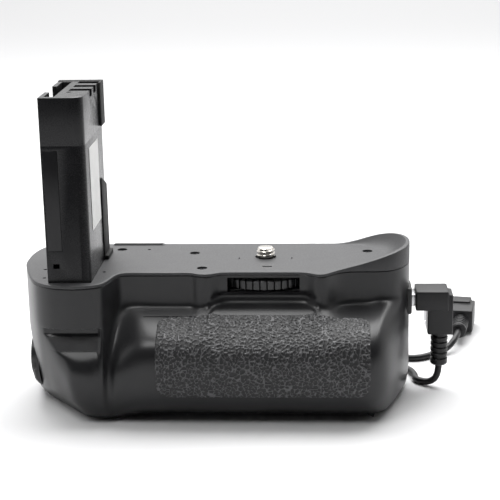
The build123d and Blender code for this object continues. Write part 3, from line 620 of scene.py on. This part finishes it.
def carveScoop(mesh, s):
    # moves the lobe's front back to the scoop's line, with a rounded rim where the two meet, and the wall's
    # inner side back behind it
    for vert, inner in zip(mesh.vertices, [v.normal.y > 0.05 for v in mesh.vertices]):
        x, y, z = vert.co * 1000
        target = lineAt(s["line"], z)
        if target is None or x > s["right"][1] or y > s["behind"]:
            continue
        deep = target - y + (s["wall"] if inner else 0)
        vert.co.y += mm(softened(deep, s["round"]) * (1 - smoothStep(x, *s["right"])))


def pressFacet(mesh, s):
    # presses the lobe's low corner flat, with a small radius at the facet's edge
    facing = Vector(s["facing"]).normalized()
    for vert, inner in zip(mesh.vertices, [v.normal.dot(facing) < -0.05 for v in mesh.vertices]):
        if vert.co.x > mm(s["rightX"]) or vert.co.z > mm(s["topZ"]):
            continue
        deep = (vert.co - mm(*s["place"])).dot(facing) * 1000 + (s["wall"] if inner else 0)
        vert.co -= facing * mm(softened(deep, s["round"]))


def housingSkin(s):
    bm = bmesh.new()
    ring, _ = drawLine(bm, sectionLine(*sections[0], s))
    first = ring
    for parts in sections[1:]:
        ring = growRing(bm, ring, sectionLine(*parts, s), closed=False)
    for end in (first, ring):
        for i in range(len(end) // 2 - 1):
            bm.faces.new([end[i], end[i + 1], end[-2 - i], end[-1 - i]])
    outward(bm)
    skin = linked("housingSkin", meshOf("housingSkin", bm))
    soft = skin.modifiers.new("soft", "SUBSURF")
    soft.levels = soft.render_levels = s["levels"]
    bakeModifiers(skin)
    return skin


# The shells and the base are slices of the skin. A chamfer along each cut draws the seam.
def sliceOf(skin, *cuts):
    # each cut gives an axis, a value and whether the side above it stays
    bm = bmesh.new()
    bm.from_mesh(skin.data)
    for axis, value, keepAbove in cuts:
        normal = Vector([1.0 if i == axis else 0.0 for i in range(3)])
        inside = value + (housing["chamfer"] if keepAbove else -housing["chamfer"])
        for place, clear in ((inside, False), (value, True)):
            bmesh.ops.bisect_plane(bm, geom=bm.verts[:] + bm.edges[:] + bm.faces[:], dist=mm(0.001),
                                   plane_co=normal * mm(place), plane_no=normal,
                                   clear_inner=clear and keepAbove, clear_outer=clear and not keepAbove)
    bm.normal_update()
    for axis, value, keepAbove in cuts:
        for vert in bm.verts:
            if abs(vert.co[axis] - mm(value)) < mm(0.01):
                sideways = vert.normal.copy()
                sideways[axis] = 0
                vert.co -= sideways.normalized() * mm(housing["chamfer"] * housing["tuck"])
    return bm


def shellOf(name, *cuts):
    # a slice of the skin, thickened inwards
    piece = newPiece(name, sliceOf(skin, *cuts), bodyPlastic)
    solid = piece.modifiers.new("wall", "SOLIDIFY")
    solid.thickness = mm(housing["wall"])
    solid.offset = -1
    solid.use_rim = True
    bakeModifiers(piece)
    return piece


wallCuts = [(2, housing["coverZ"] - housing["seamGap"], False), (2, housing["floorZ"], True)]
openings = {
    "slotX": 12.0, "slotTopZ": -1.9, "slotLowZ": -6.9, "doorX": (-56.0, 19.9), "doorZ": (-45.4, -14.3),
    "buttonY": -9.0, "buttonZ": -32.0, "dishR": 11.0, "dishX": -77.6, "boreR": 4.9, "jackY": 5.4,
    "jackZ": (-19.2, -10.0), "jackX": 47.6, "guardR": (8.4, 10.4), "guardX": -79.1,
    "guardSpan": 140, "guardTurn": 14,
}


def frontShellPiece(s):
    piece = shellOf("frontShell", *wallCuts, (1, housing["seamY"] - housing["seamGap"], False))
    cutOut(piece, [
        tool(addBox, (-s["slotX"], s["slotX"]), (-30, -10), (s["slotLowZ"], s["slotTopZ"])),
        tool(addPost, (0, s["buttonY"], s["buttonZ"]), s["dishR"], -90, s["dishX"], alongX=True, sides=96),
        tool(addBox, (s["jackX"], 60), (-s["jackY"], s["jackY"]), s["jackZ"]),
    ])
    carveScoop(piece.data, scoopCut)
    pressFacet(piece.data, facet)
    shadeByAngle(piece.data, housing["smoothAngle"])
    piece.data.materials.append(scoopPlastic)
    for face in piece.data.polygons:
        # the scoop's panel has a coarser grain
        if all(low < c * 1000 < high for c, (low, high) in zip(face.center, scoopCut["panel"])):
            face.material_index = 1
    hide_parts("front_shell")


def dishPiece(s):
    # the floor of the button's dish, with its bore
    bm = bmesh.new()
    ring = bmesh.ops.create_circle(bm, segments=96, radius=mm(s["dishR"] - 0.05))["verts"]
    turn(bm, ring, 90, "Y")
    bmesh.ops.translate(bm, vec=mm(s["dishX"] + 1.0, s["buttonY"], s["buttonZ"]), verts=ring)
    centre = mm(s["dishX"], s["buttonY"], s["buttonZ"])

    def shrunk(x, radius):
        return [Vector((mm(x), *(centre.yz + (v.co.yz - centre.yz).normalized() * mm(radius)))) for v in ring]

    for x, radius in ((s["dishX"], s["dishR"] - 0.05), (s["dishX"], s["dishR"] - 0.3),
                      (s["dishX"], s["boreR"] + 0.2), (s["dishX"] + 0.2, s["boreR"]),
                      (s["dishX"] + 5, s["boreR"])):
        ring = growRing(bm, ring, shrunk(x, radius))
    outward(bm)
    piece = newPiece("buttonDish", bm, scoopPlastic)


def guardPiece(s):
    # a raised rest round the lower half of the button's dish
    bm = bmesh.new()
    low, high = s["dishX"] + 0.4, s["guardX"]
    profile = [(s["guardR"][0], low), (s["guardR"][0], high + 0.4), (s["guardR"][0] + 0.4, high),
               (s["guardR"][1] - 0.8, high), (s["guardR"][1], high + 0.8), (s["guardR"][1], low)]
    line = [bm.verts.new(mm(x, s["buttonY"] - r, s["buttonZ"])) for r, x in profile]
    end = bm.faces.new(line)
    centre = mm(0, s["buttonY"], s["buttonZ"])
    bmesh.ops.spin(bm, geom=[end], cent=centre, axis=(1, 0, 0), angle=math.radians(s["guardSpan"]), steps=60,
                   use_duplicate=False)
    turn(bm, bm.verts, s["guardTurn"], "X", centre)
    outward(bm)
    piece = newPiece("buttonGuard", bm, innerPlastic)


def rearShellPiece(s):
    piece = shellOf("rearShell", *wallCuts, (1, housing["seamY"], True))
    cutOut(piece, [
        tool(addBox, (-s["slotX"], s["slotX"]), (10, 30), (s["slotLowZ"], s["slotTopZ"])),
        tool(addBox, s["doorX"], (14, 30), s["doorZ"]),
    ])
    shadeByAngle(piece.data, housing["smoothAngle"])
    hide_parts("rear_shell")


def baseCoverPiece(s):
    piece = shellOf("baseCover", (2, housing["floorZ"] - housing["seamGap"], False))
    for vert in piece.data.vertices:
        vert.co.z = max(vert.co.z, mm(housing["baseZ"]))
    screws = [tool(addPost, (x, y, 0), s["headR"], -50, -46.2) for x, y in s["screws"]]
    socket = tool(addPost, (s["socket"][0], s["socket"][1], 0), s["socketR"], -50, -40, sides=64)
    cutOut(piece, screws + [socket])
    pressFacet(piece.data, facet)
    shadeByAngle(piece.data, housing["smoothAngle"])
    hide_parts("base_cover")


baseParts = {"screws": [(-60, 10), (-60, -14), (39.5, 5), (26, -17)], "headR": 2.3, "socket": (31, -4),
             "socketR": 5.5}

# The top cover: the skin's outline at the seam, grown up the plate's edge and over the horn's rim
cover = {
    "edge": 0.3, "hornX": (23.2, 49.6), "hornH": 5.6, "rim": 1.3, "dish": 9.0, "dishRows": 7,
    "tower": ((-69.5, -55.3), (-30.9, 4.7)), "screwHoleR": 3.6,
    "wells": [(-51, 9.5), (-24.9, 4.7), (-20.7, -13.9), (35, 6.8)], "wellR": 1.75, "wellDepth": 1.5,
    "dots": [(-41.4, 9.4), (-53, -18.4), (-73.4, -15.4), (-71.7, -25.3)], "dotR": 0.6, "dotDepth": 0.8,
    "slots": [((-0.6, 2.6), (-12.6, -11.6), (-0.8, 5)), ((-9.2, -8.8), (-3.2, -1.2), (-0.3, 5)),
              ((8.8, 9.2), (-3.2, -1.2), (-0.3, 5))],
}


def outlineAt(skin, z):
    # the skin's edge at a height, as points in order
    bm = bmesh.new()
    bm.from_mesh(skin.data)
    up = Vector((0, 0, 1))
    bmesh.ops.bisect_plane(bm, geom=bm.verts[:] + bm.edges[:] + bm.faces[:], dist=mm(0.001),
                           plane_co=up * mm(z), plane_no=up, clear_outer=True)
    edge = [e for e in bm.edges if e.is_boundary]
    start = edge[0].verts[0]
    points, before, here = [], None, start
    while here is not start or before is None:
        points.append(here.co.copy())
        following = next(e for e in here.link_edges if e.is_boundary and e.other_vert(here) is not before)
        before, here = here, following.other_vert(here)
    bm.free()
    area = sum(a.x * b.y - b.x * a.y for a, b in zip(points, points[1:] + points[:1]))
    return points if area > 0 else points[::-1]


def inwardNormals(points, reach):
    # plan normals that point into the outline, averaged over a few neighbours
    count = len(points)
    normals = []
    for i in range(count):
        along = points[(i + reach) % count] - points[i - reach]
        normals.append(Vector((-along.y, along.x, 0)).normalized())
    return normals


def topCoverPiece(s):
    points = outlineAt(skin, housing["coverZ"])
    normals = inwardNormals(points, 3)
    rise = [smoothStep(p.x * 1000, *s["hornX"]) for p in points]
    bm = bmesh.new()

    def row(inset, height):
        # inset and height are functions of the horn's rise at a point
        return [Vector((p.x, p.y, 0)) + n * mm(inset(r)) + Vector((0, 0, mm(height(r))))
                for p, n, r in zip(points, normals, rise)]

    ring, _ = drawLine(bm, row(lambda r: 0.12, lambda r: housing["coverZ"]), closed=True)
    bm.faces.new(ring[::-1])
    edge, high = s["edge"], s["hornH"]
    rows = [
        (lambda r: 0.0, lambda r: housing["coverZ"] + 0.15),
        (lambda r: 0.0, lambda r: high * r - edge),
        (lambda r: edge * 0.3, lambda r: high * r - edge * 0.3),
        (lambda r: edge, lambda r: high * r),
        (lambda r: s["rim"], lambda r: high * r),
    ]
    for i in range(1, s["dishRows"] + 1):
        t = i / s["dishRows"]
        rows.append((lambda r, t=t: s["rim"] + 0.25 * t + s["dish"] * r * t,
                     lambda r, t=t: high * r * (1 - t) ** 2.4))
    for inset, height in rows:
        ring = growRing(bm, ring, row(inset, height))
    bm.faces.new(ring)
    outward(bm)
    bmesh.ops.triangulate(bm, faces=[f for f in bm.faces if len(f.verts) > 4])
    piece = newPiece("topCover", bm, coverPlastic)
    cutters = [tool(addBox, *s["tower"], (-10, 5)),
               tool(addPost, (0, 0, 0), s["screwHoleR"], -10, 5, sides=64)]
    cutters += [tool(addPost, (x, y, 0), s["wellR"], -s["wellDepth"], 5) for x, y in s["wells"]]
    cutters += [tool(addPost, (x, y, 0), s["dotR"], -s["dotDepth"], 5, sides=24) for x, y in s["dots"]]
    cutters += [tool(addBox, *slot) for slot in s["slots"]]
    cutOut(piece, cutters)
    shadeByAngle(piece.data, 32.0)
    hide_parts("top_cover")


# Rubber pads: fine grids with real ridges round small cells. The front one is laid on the skin.
padFront = {
    "x": (-34.8, 35.2), "topY": -24.3, "lowZ": -37.4, "grid": 0.26, "lift": 0.12, "ridge": 0.3, "cell": 1.3,
    "corner": 4.6, "edge": 0.5, "sink": 0.1, "seed": 3.7, "fan": (80.0, -32.0), "pivot": (-20, -29),
    "reach": 17.5,
}


def ridgeHeight(place, cell):
    # 1 on the border between two cells, 0 inside them
    near = noise.voronoi(place / mm(cell))[0]
    return 1 - smoothStep(near[1] - near[0], 0.02, 0.16)


def padFade(sideGap, endGap, s):
    # 0 at the pad's edge and 1 inside it, with rounded corners
    border = min(sideGap, endGap)
    if sideGap < s["corner"] and endGap < s["corner"]:
        border = s["corner"] - math.hypot(s["corner"] - sideGap, s["corner"] - endGap)
    return smoothStep(border, 0.0, s["edge"])


def raisePad(vert, layer, base, normal, fade, s):
    # lifts one vertex of a pad, with its edge sunk into the skin, and notes the ridge for the material
    ridge = ridgeHeight(base + Vector((s["seed"], 0, 0)), s["cell"])
    vert.co = base + normal * mm(fade * (s["lift"] + s["ridge"] * ridge) - (1 - fade) * s["sink"])
    vert[layer] = ridge * fade


def frontPadPiece(s):
    # rays fan out from a line inside the handle, row by row from the pad's top edge down
    tree = BVHTree.FromObject(skin, bpy.context.evaluated_depsgraph_get())
    across = int((s["x"][1] - s["x"][0]) / s["grid"])
    rows = []
    angle = s["fan"][0]
    while angle > s["fan"][1]:
        aim = Vector((0, -math.cos(math.radians(angle)), math.sin(math.radians(angle))))
        angle -= math.degrees(s["grid"] / s["reach"])
        row = []
        for i in range(across + 1):
            start = mm(s["x"][0] + (s["x"][1] - s["x"][0]) * i / across, *s["pivot"])
            hit, normal, _, _ = tree.ray_cast(start + aim * mm(1.0), aim)
            row.append((hit, normal if normal.dot(aim) > 0 else -normal))
        y, z = row[across // 2][0].yz * 1000
        if y <= s["topY"] and z >= s["lowZ"]:
            rows.append(row)
    bm = bmesh.new()
    layer = bm.verts.layers.float.new("ridge")
    bmesh.ops.create_grid(bm, x_segments=across, y_segments=len(rows) - 1, size=1.0)
    for index, vert in enumerate(bm.verts):
        # the grid counts its rows from the low edge up
        j, i = divmod(index, across + 1)
        sideGap, endGap = min(i, across - i) * s["grid"], min(j, len(rows) - 1 - j) * s["grid"]
        raisePad(vert, layer, *rows[-1 - j][i], padFade(sideGap, endGap, s), s)
    piece = newPiece("frontPad", bm, padRubber, smoothAngle=60.0)
    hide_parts("front_pad")


padRear = {
    "x": -64.5, "y": 17.2, "z": -24.0, "wide": 12.0, "high": 26.0, "grid": 0.26, "lift": 0.3, "ridge": 0.3,
    "cell": 1.3, "corner": 4.0, "edge": 0.5, "sink": 0.1, "seed": 9.1,
}


def rearPadPiece(s):
    bm = bmesh.new()
    layer = bm.verts.layers.float.new("ridge")
    across, down = int(s["wide"] / s["grid"]), int(s["high"] / s["grid"])
    bmesh.ops.create_grid(bm, x_segments=across, y_segments=down, size=0.5)
    bmesh.ops.scale(bm, vec=mm(s["wide"], s["high"], 1000), verts=bm.verts)
    turn(bm, bm.verts, -90, "X")
    for vert in bm.verts:
        sideGap, endGap = s["wide"] / 2 - abs(vert.co.x) * 1000, s["high"] / 2 - abs(vert.co.z) * 1000
        raisePad(vert, layer, vert.co.copy(), Vector((0, 1, 0)), padFade(sideGap, endGap, s), s)
    bmesh.ops.translate(bm, vec=mm(s["x"], s["y"], s["z"]), verts=bm.verts)
    piece = newPiece("rearPad", bm, padRubber, smoothAngle=60.0)
    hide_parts("rear_pad")


rib = {"x": (-54.8, -35.6), "y": (15.2, 16.9), "z": (-0.2, 0.45), "slope": 2.0}


def rearRibPiece(s):
    bm = bmesh.new()
    for vert in addBox(bm, s["x"], s["y"], s["z"]):
        # its right end slopes down to the plate
        if vert.co.x > mm(s["x"][1] - 0.1) and vert.co.z > 0:
            vert.co.x -= mm(s["slope"])
    bmesh.ops.bevel(bm, geom=[e for e in bm.edges if min(v.co.z for v in e.verts) > 0],
                    offset=mm(0.2), segments=3, profile=0.5, affect="EDGES", material=-1)
    outward(bm)
    piece = newPiece("rearRib", bm, coverPlastic)


skin = housingSkin(housing)
print("stage: housing skin,", len(skin.data.polygons), "faces")
frontShellPiece(openings)
dishPiece(openings)
guardPiece(openings)
rearShellPiece(openings)
baseCoverPiece(baseParts)
print("stage: shells and base made")
topCoverPiece(cover)
print("stage: top cover made")
rearRibPiece(rib)
frontPadPiece(padFront)
rearPadPiece(padRear)
bpy.data.objects.remove(skin)
print("stage: pads made")

# Thumbwheel: ribs with chamfered tops, grown in rings from a toothed outline
wheel = {
    "radius": 18.6, "topZ": -3.2, "thick": 3.4, "ribs": 48, "bore": 3.0, "chamfer": 0.35,
    "tooth": [(-0.52, 0.9), (-0.4, 0.12), (-0.3, 0), (0.3, 0), (0.4, 0.12), (0.52, 0.9)],
    "rim": 2.2, "dish": 2.8, "dishDepth": 0.5, "hubR": (5.0, 4.6),
}


def toothedRing(s, inset):
    # angles and radii; each rib has two corners outside and two at the root, as parts of a rib's span
    span = 2 * math.pi / s["ribs"]
    return [((i + side) * span, s["radius"] - drop - inset)
            for i in range(s["ribs"]) for side, drop in s["tooth"]]


def thumbwheelPiece(s):
    bm = bmesh.new()
    top, low, cut = s["topZ"], s["topZ"] - s["thick"], s["chamfer"]
    rows = [(low, cut), (low + cut, 0.0), (top - cut, 0.0), (top, cut), (top, s["rim"]),
            (top - s["dishDepth"], s["dish"])]

    def toothed(height, inset):
        return [mm(r * math.cos(a), r * math.sin(a), height) for a, r in toothedRing(s, inset)]

    def circle(height, radius):
        return [mm(radius * math.cos(a), radius * math.sin(a), height) for a, _ in toothedRing(s, 0)]

    ring, _ = drawLine(bm, circle(low, s["bore"]), closed=True)
    start = ring
    for height, inset in rows:
        ring = growRing(bm, ring, toothed(height, inset))
    for height, radius in ((top - s["dishDepth"], s["hubR"][0]), (top, s["hubR"][1]), (top, s["bore"])):
        ring = growRing(bm, ring, circle(height, radius))
    for a, b, c, d in zip(ring, ring[1:] + ring[:1], start[1:] + start[:1], start):
        bm.faces.new([a, b, c, d])
    outward(bm)
    piece = newPiece("thumbwheel", bm, wheelPlastic, "screw_wheel")
    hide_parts("thumbwheel")


# Camera screw: a thread profile spun up its axis, with a rounded end
screw = {"radius": 3.175, "root": 2.75, "pitch": 1.27, "lowZ": -0.6, "topZ": 3.5, "round": 0.7, "steps": 48}


def cameraScrewPiece(s):
    bm = bmesh.new()
    end = s["topZ"] - s["round"]
    profile = [(s["root"], 0.0), (s["root"], 0.22), (s["radius"] - 0.06, 0.52), (s["radius"], 0.6),
               (s["radius"], 0.72), (s["radius"] - 0.06, 0.8), (s["root"], 1.1), (s["root"], s["pitch"])]
    for i in range(int((end - s["lowZ"]) / s["pitch"])):
        base = s["lowZ"] + i * s["pitch"]
        line, edges = drawLine(bm, [mm(r, 0, base + z) for r, z in profile])
        bmesh.ops.spin(bm, geom=line + edges, cent=(0, 0, 0), axis=(0, 0, 1), angle=2 * math.pi,
                       steps=s["steps"], dvec=mm(0, 0, s["pitch"] / s["steps"]), use_duplicate=False)
    latheInto(bm, [(s["root"] - 0.2, s["lowZ"] - 2.4), (s["root"] - 0.2, end - 0.4),
                   (s["root"] + 0.1, end - 0.3), (s["root"], end + 0.1), (s["root"] - 0.25, s["topZ"] - 0.12),
                   (s["root"] - 0.7, s["topZ"]), (0.001, s["topZ"])], s["steps"])
    latheInto(bm, [(s["root"] + 0.18, s["lowZ"] - 7), (s["root"] + 0.18, s["lowZ"] - 2.6)], s["steps"])
    outward(bm)
    piece = newPiece("cameraScrew", bm, screwNickel, "screw_wheel", smoothAngle=50)
    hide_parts("camera_screw")


# Tower: the bars on its back corner. Its other pieces are copies of the CAD's with soft edges.
flange = {
    "bars": [((-69.7, -54.55), (4.62, 6.9), (45.8, 60.6)), ((-55.38, -54.55), (-0.2, 5.0), (45.8, 60.6))],
    "round": 0.3,
}
fin = {
    "bars": [((-58.4, -55.0), (4.62, 6.9), (-0.7, 28.8)), ((-55.38, -55.0), (-3.4, 5.0), (-0.7, 28.8)),
             ((-55.38, -53.8), (-3.2, 6.9), (-0.7, 1.4))],
    "round": 0.15, "slantZ": 27.8, "slantY": -0.4, "slant": 0.6,
}


def barsInto(bm, boxes, width):
    for box in boxes:
        edges = {e for v in addBox(bm, *box) for e in v.link_edges}
        bmesh.ops.bevel(bm, geom=list(edges), offset=mm(width), segments=2, profile=0.5, affect="EDGES",
                        material=-1)


def flangePiece(s):
    bm = bmesh.new()
    barsInto(bm, s["bars"], s["round"])
    outward(bm)
    piece = newPiece("upperFlange", bm, flangePlastic)
    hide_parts("upper_flange")


def finPiece(s):
    bm = bmesh.new()
    barsInto(bm, s["bars"], s["round"])
    for vert in bm.verts:
        # the top slants down to the rear
        if vert.co.z > mm(s["slantZ"]):
            vert.co.z -= max(0.0, vert.co.y - mm(s["slantY"])) * s["slant"]
    outward(bm)
    piece = newPiece("lowerFin", bm, flangePlastic)
    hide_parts("lower_fin")


# Plugs: their ribbed reliefs, spun and turned into place
plugs = {
    "first": Matrix.Translation(mm(59.7, 0, -26.9)),
    "second": (Matrix.Translation(mm(72.75, 56.2, -42.2)) @ Matrix.Rotation(math.radians(-10), 4, "Z")
               @ Matrix.Rotation(math.radians(-90), 4, "X")),
    "reliefR": 2.95, "waistR": 2.35, "reliefL": 11.8, "ribs": 5, "groove": 0.35,
}


def reliefPiece(name, s):
    bm = bmesh.new()
    pitch = s["reliefL"] / (s["ribs"] + 1)
    profile = [(0.6, 0.0), (s["reliefR"] - 0.2, 0.0), (s["reliefR"], -0.2)]
    for i in range(s["ribs"]):
        top = -pitch * (i + 0.5)
        low = top - pitch * s["groove"]
        profile += [(s["reliefR"], top + 0.12), (s["reliefR"] - 0.12, top), (s["waistR"], top - 0.08),
                    (s["waistR"], low + 0.08), (s["reliefR"] - 0.12, low), (s["reliefR"], low - 0.12)]
    profile += [(s["reliefR"], 0.5 - s["reliefL"]), (s["reliefR"] - 0.4, -s["reliefL"]), (1.2, -s["reliefL"]),
                (1.1, 0.4 - s["reliefL"])]
    latheInto(bm, profile, 48)
    outward(bm)
    bmesh.ops.transform(bm, matrix=s[name], verts=bm.verts)
    piece = newPiece(name + "Relief", bm, cordRubber)
    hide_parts(f"{name}_plug_relief")


# Small screws with a cross recess, as arms with half a length and half a width
crossSet = {"arms": [(0.22, 0.8), (0.8, 0.22)], "deep": 0.45}


def crossScrew(nodeName, name, x, y, seatZ, radius, faceDown):
    bm = bmesh.new()
    latheInto(bm, [(0.001, 0.0), (radius - 0.5, 0.0), (radius - 0.12, -0.12), (radius, -0.3), (radius, -1.0),
                   (radius * 0.5, -1.02), (radius * 0.5, -5.0), (0.001, -5.2)], 32)
    outward(bm)
    if faceDown:
        turn(bm, bm.verts, 180, "X")
    bmesh.ops.translate(bm, vec=mm(x, y, seatZ), verts=bm.verts)
    piece = newPiece(name, bm, blackSteel)
    span = (seatZ - crossSet["deep"], seatZ + crossSet["deep"])
    cutOut(piece, [tool(addBox, (x - wide, x + wide), (y - long, y + long), span)
                   for wide, long in crossSet["arms"]])
    shadeByAngle(piece.data, 35.0)
    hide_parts(nodeName)


# Copies of CAD nodes with soft edges: node, piece, material, body, edge width, segments and slot
softCopies = [
    ("tower_shell", "towerShell", towerPlastic, "root", 0.35, 3, "tower_plastic"),
    ("tower_head", "towerHead", towerPlastic, "root", 0.25, 2, "tower_plastic"),
    ("side_strip", "sideStrip", stripPlastic, "root", 0.12, 2, "strip_plastic"),
    ("first_plug_body", "firstPlugBody", plugPlastic, "root", 0.8, 3, "plug_plastic"),
    ("second_plug_body", "secondPlugBody", plugPlastic, "root", 0.8, 3, "plug_plastic"),
    ("first_plug_nose", "firstPlugNose", springSteel, "root", 0.15, 2, "plug_metal"),
    ("second_plug_nose", "secondPlugNose", springSteel, "root", 0.15, 2, "plug_metal"),
    ("tray_door", "trayDoor", bodyPlastic, "tray", 0.3, 3, "body_plastic"),
    ("lock_knob", "lockKnob", wheelPlastic, "tray_lock", 0.25, 3, "knob_plastic"),
    ("lock_collar", "lockRing", wheelPlastic, "lock_ring", 0.2, 3, "wheel_plastic"),
    ("shutter_button", "shutterButton", wheelPlastic, "shutter", 0.3, 3, "knob_plastic"),
    ("link_socket", "linkSocket", innerPlastic, "root", 0.15, 2, "socket_plastic"),
]

thumbwheelPiece(wheel)
cameraScrewPiece(screw)
flangePiece(flange)
finPiece(fin)
for name in ("first", "second"):
    reliefPiece(name, plugs)
for row in softCopies:
    softCopy(*row)
for i, (x, y) in enumerate(cover["wells"]):
    crossScrew(f"case_screw_{i + 1}", f"caseScrew{i + 1}", x, y, -0.45, 1.5, False)
for i, (x, y) in enumerate(baseParts["screws"]):
    crossScrew(f"base_screw_{i + 1}", f"baseScrew{i + 1}", x, y, -47.1, 2.1, True)
print("stage: wheel, screws, tower and plugs made")

# Materials of the carried-over nodes, by the start of their names
finishes = [
    (coverPlastic, ("top_cover",)), (padRubber, ("front_pad", "rear_pad")),
    (bodyPlastic, ("front_shell", "rear_shell", "base_cover", "tray_door")),
    (wheelPlastic, ("thumbwheel", "lock_collar", "lock_knob", "shutter_button")),
    (screwNickel, ("camera_screw", "tripod_socket")), (blackSteel, ("case_screw", "base_screw")),
    (springSteel, ("retaining_clip", "screw_bracket", "first_plug_nose", "second_plug_nose")),
    (innerPlastic, ("bay_liner", "cell_tray", "lock_cam", "shutter_switch", "link_socket")),
    (cellWrap, ("lower_cell", "upper_cell")), (contactBrass, ("tower_contact", "tray_contact", "socket_pin")),
    (towerPlastic, ("tower_shell", "tower_head")), (stripPlastic, ("side_strip",)),
    (flangePlastic, ("upper_flange", "lower_fin")), (labelFilm, ("label_plate",)),
    (boardLaminate, ("circuit_board",)), (plugPlastic, ("first_plug_body", "second_plug_body")),
    (cordRubber, ("first_plug_relief", "second_plug_relief", "link_cord")),
]
for nodeName, nodeObject in nodes.items():
    finish = next(material for material, starts in finishes if nodeName.startswith(starts))
    nodeObject.data.materials.clear()
    nodeObject.data.materials.append(finish)
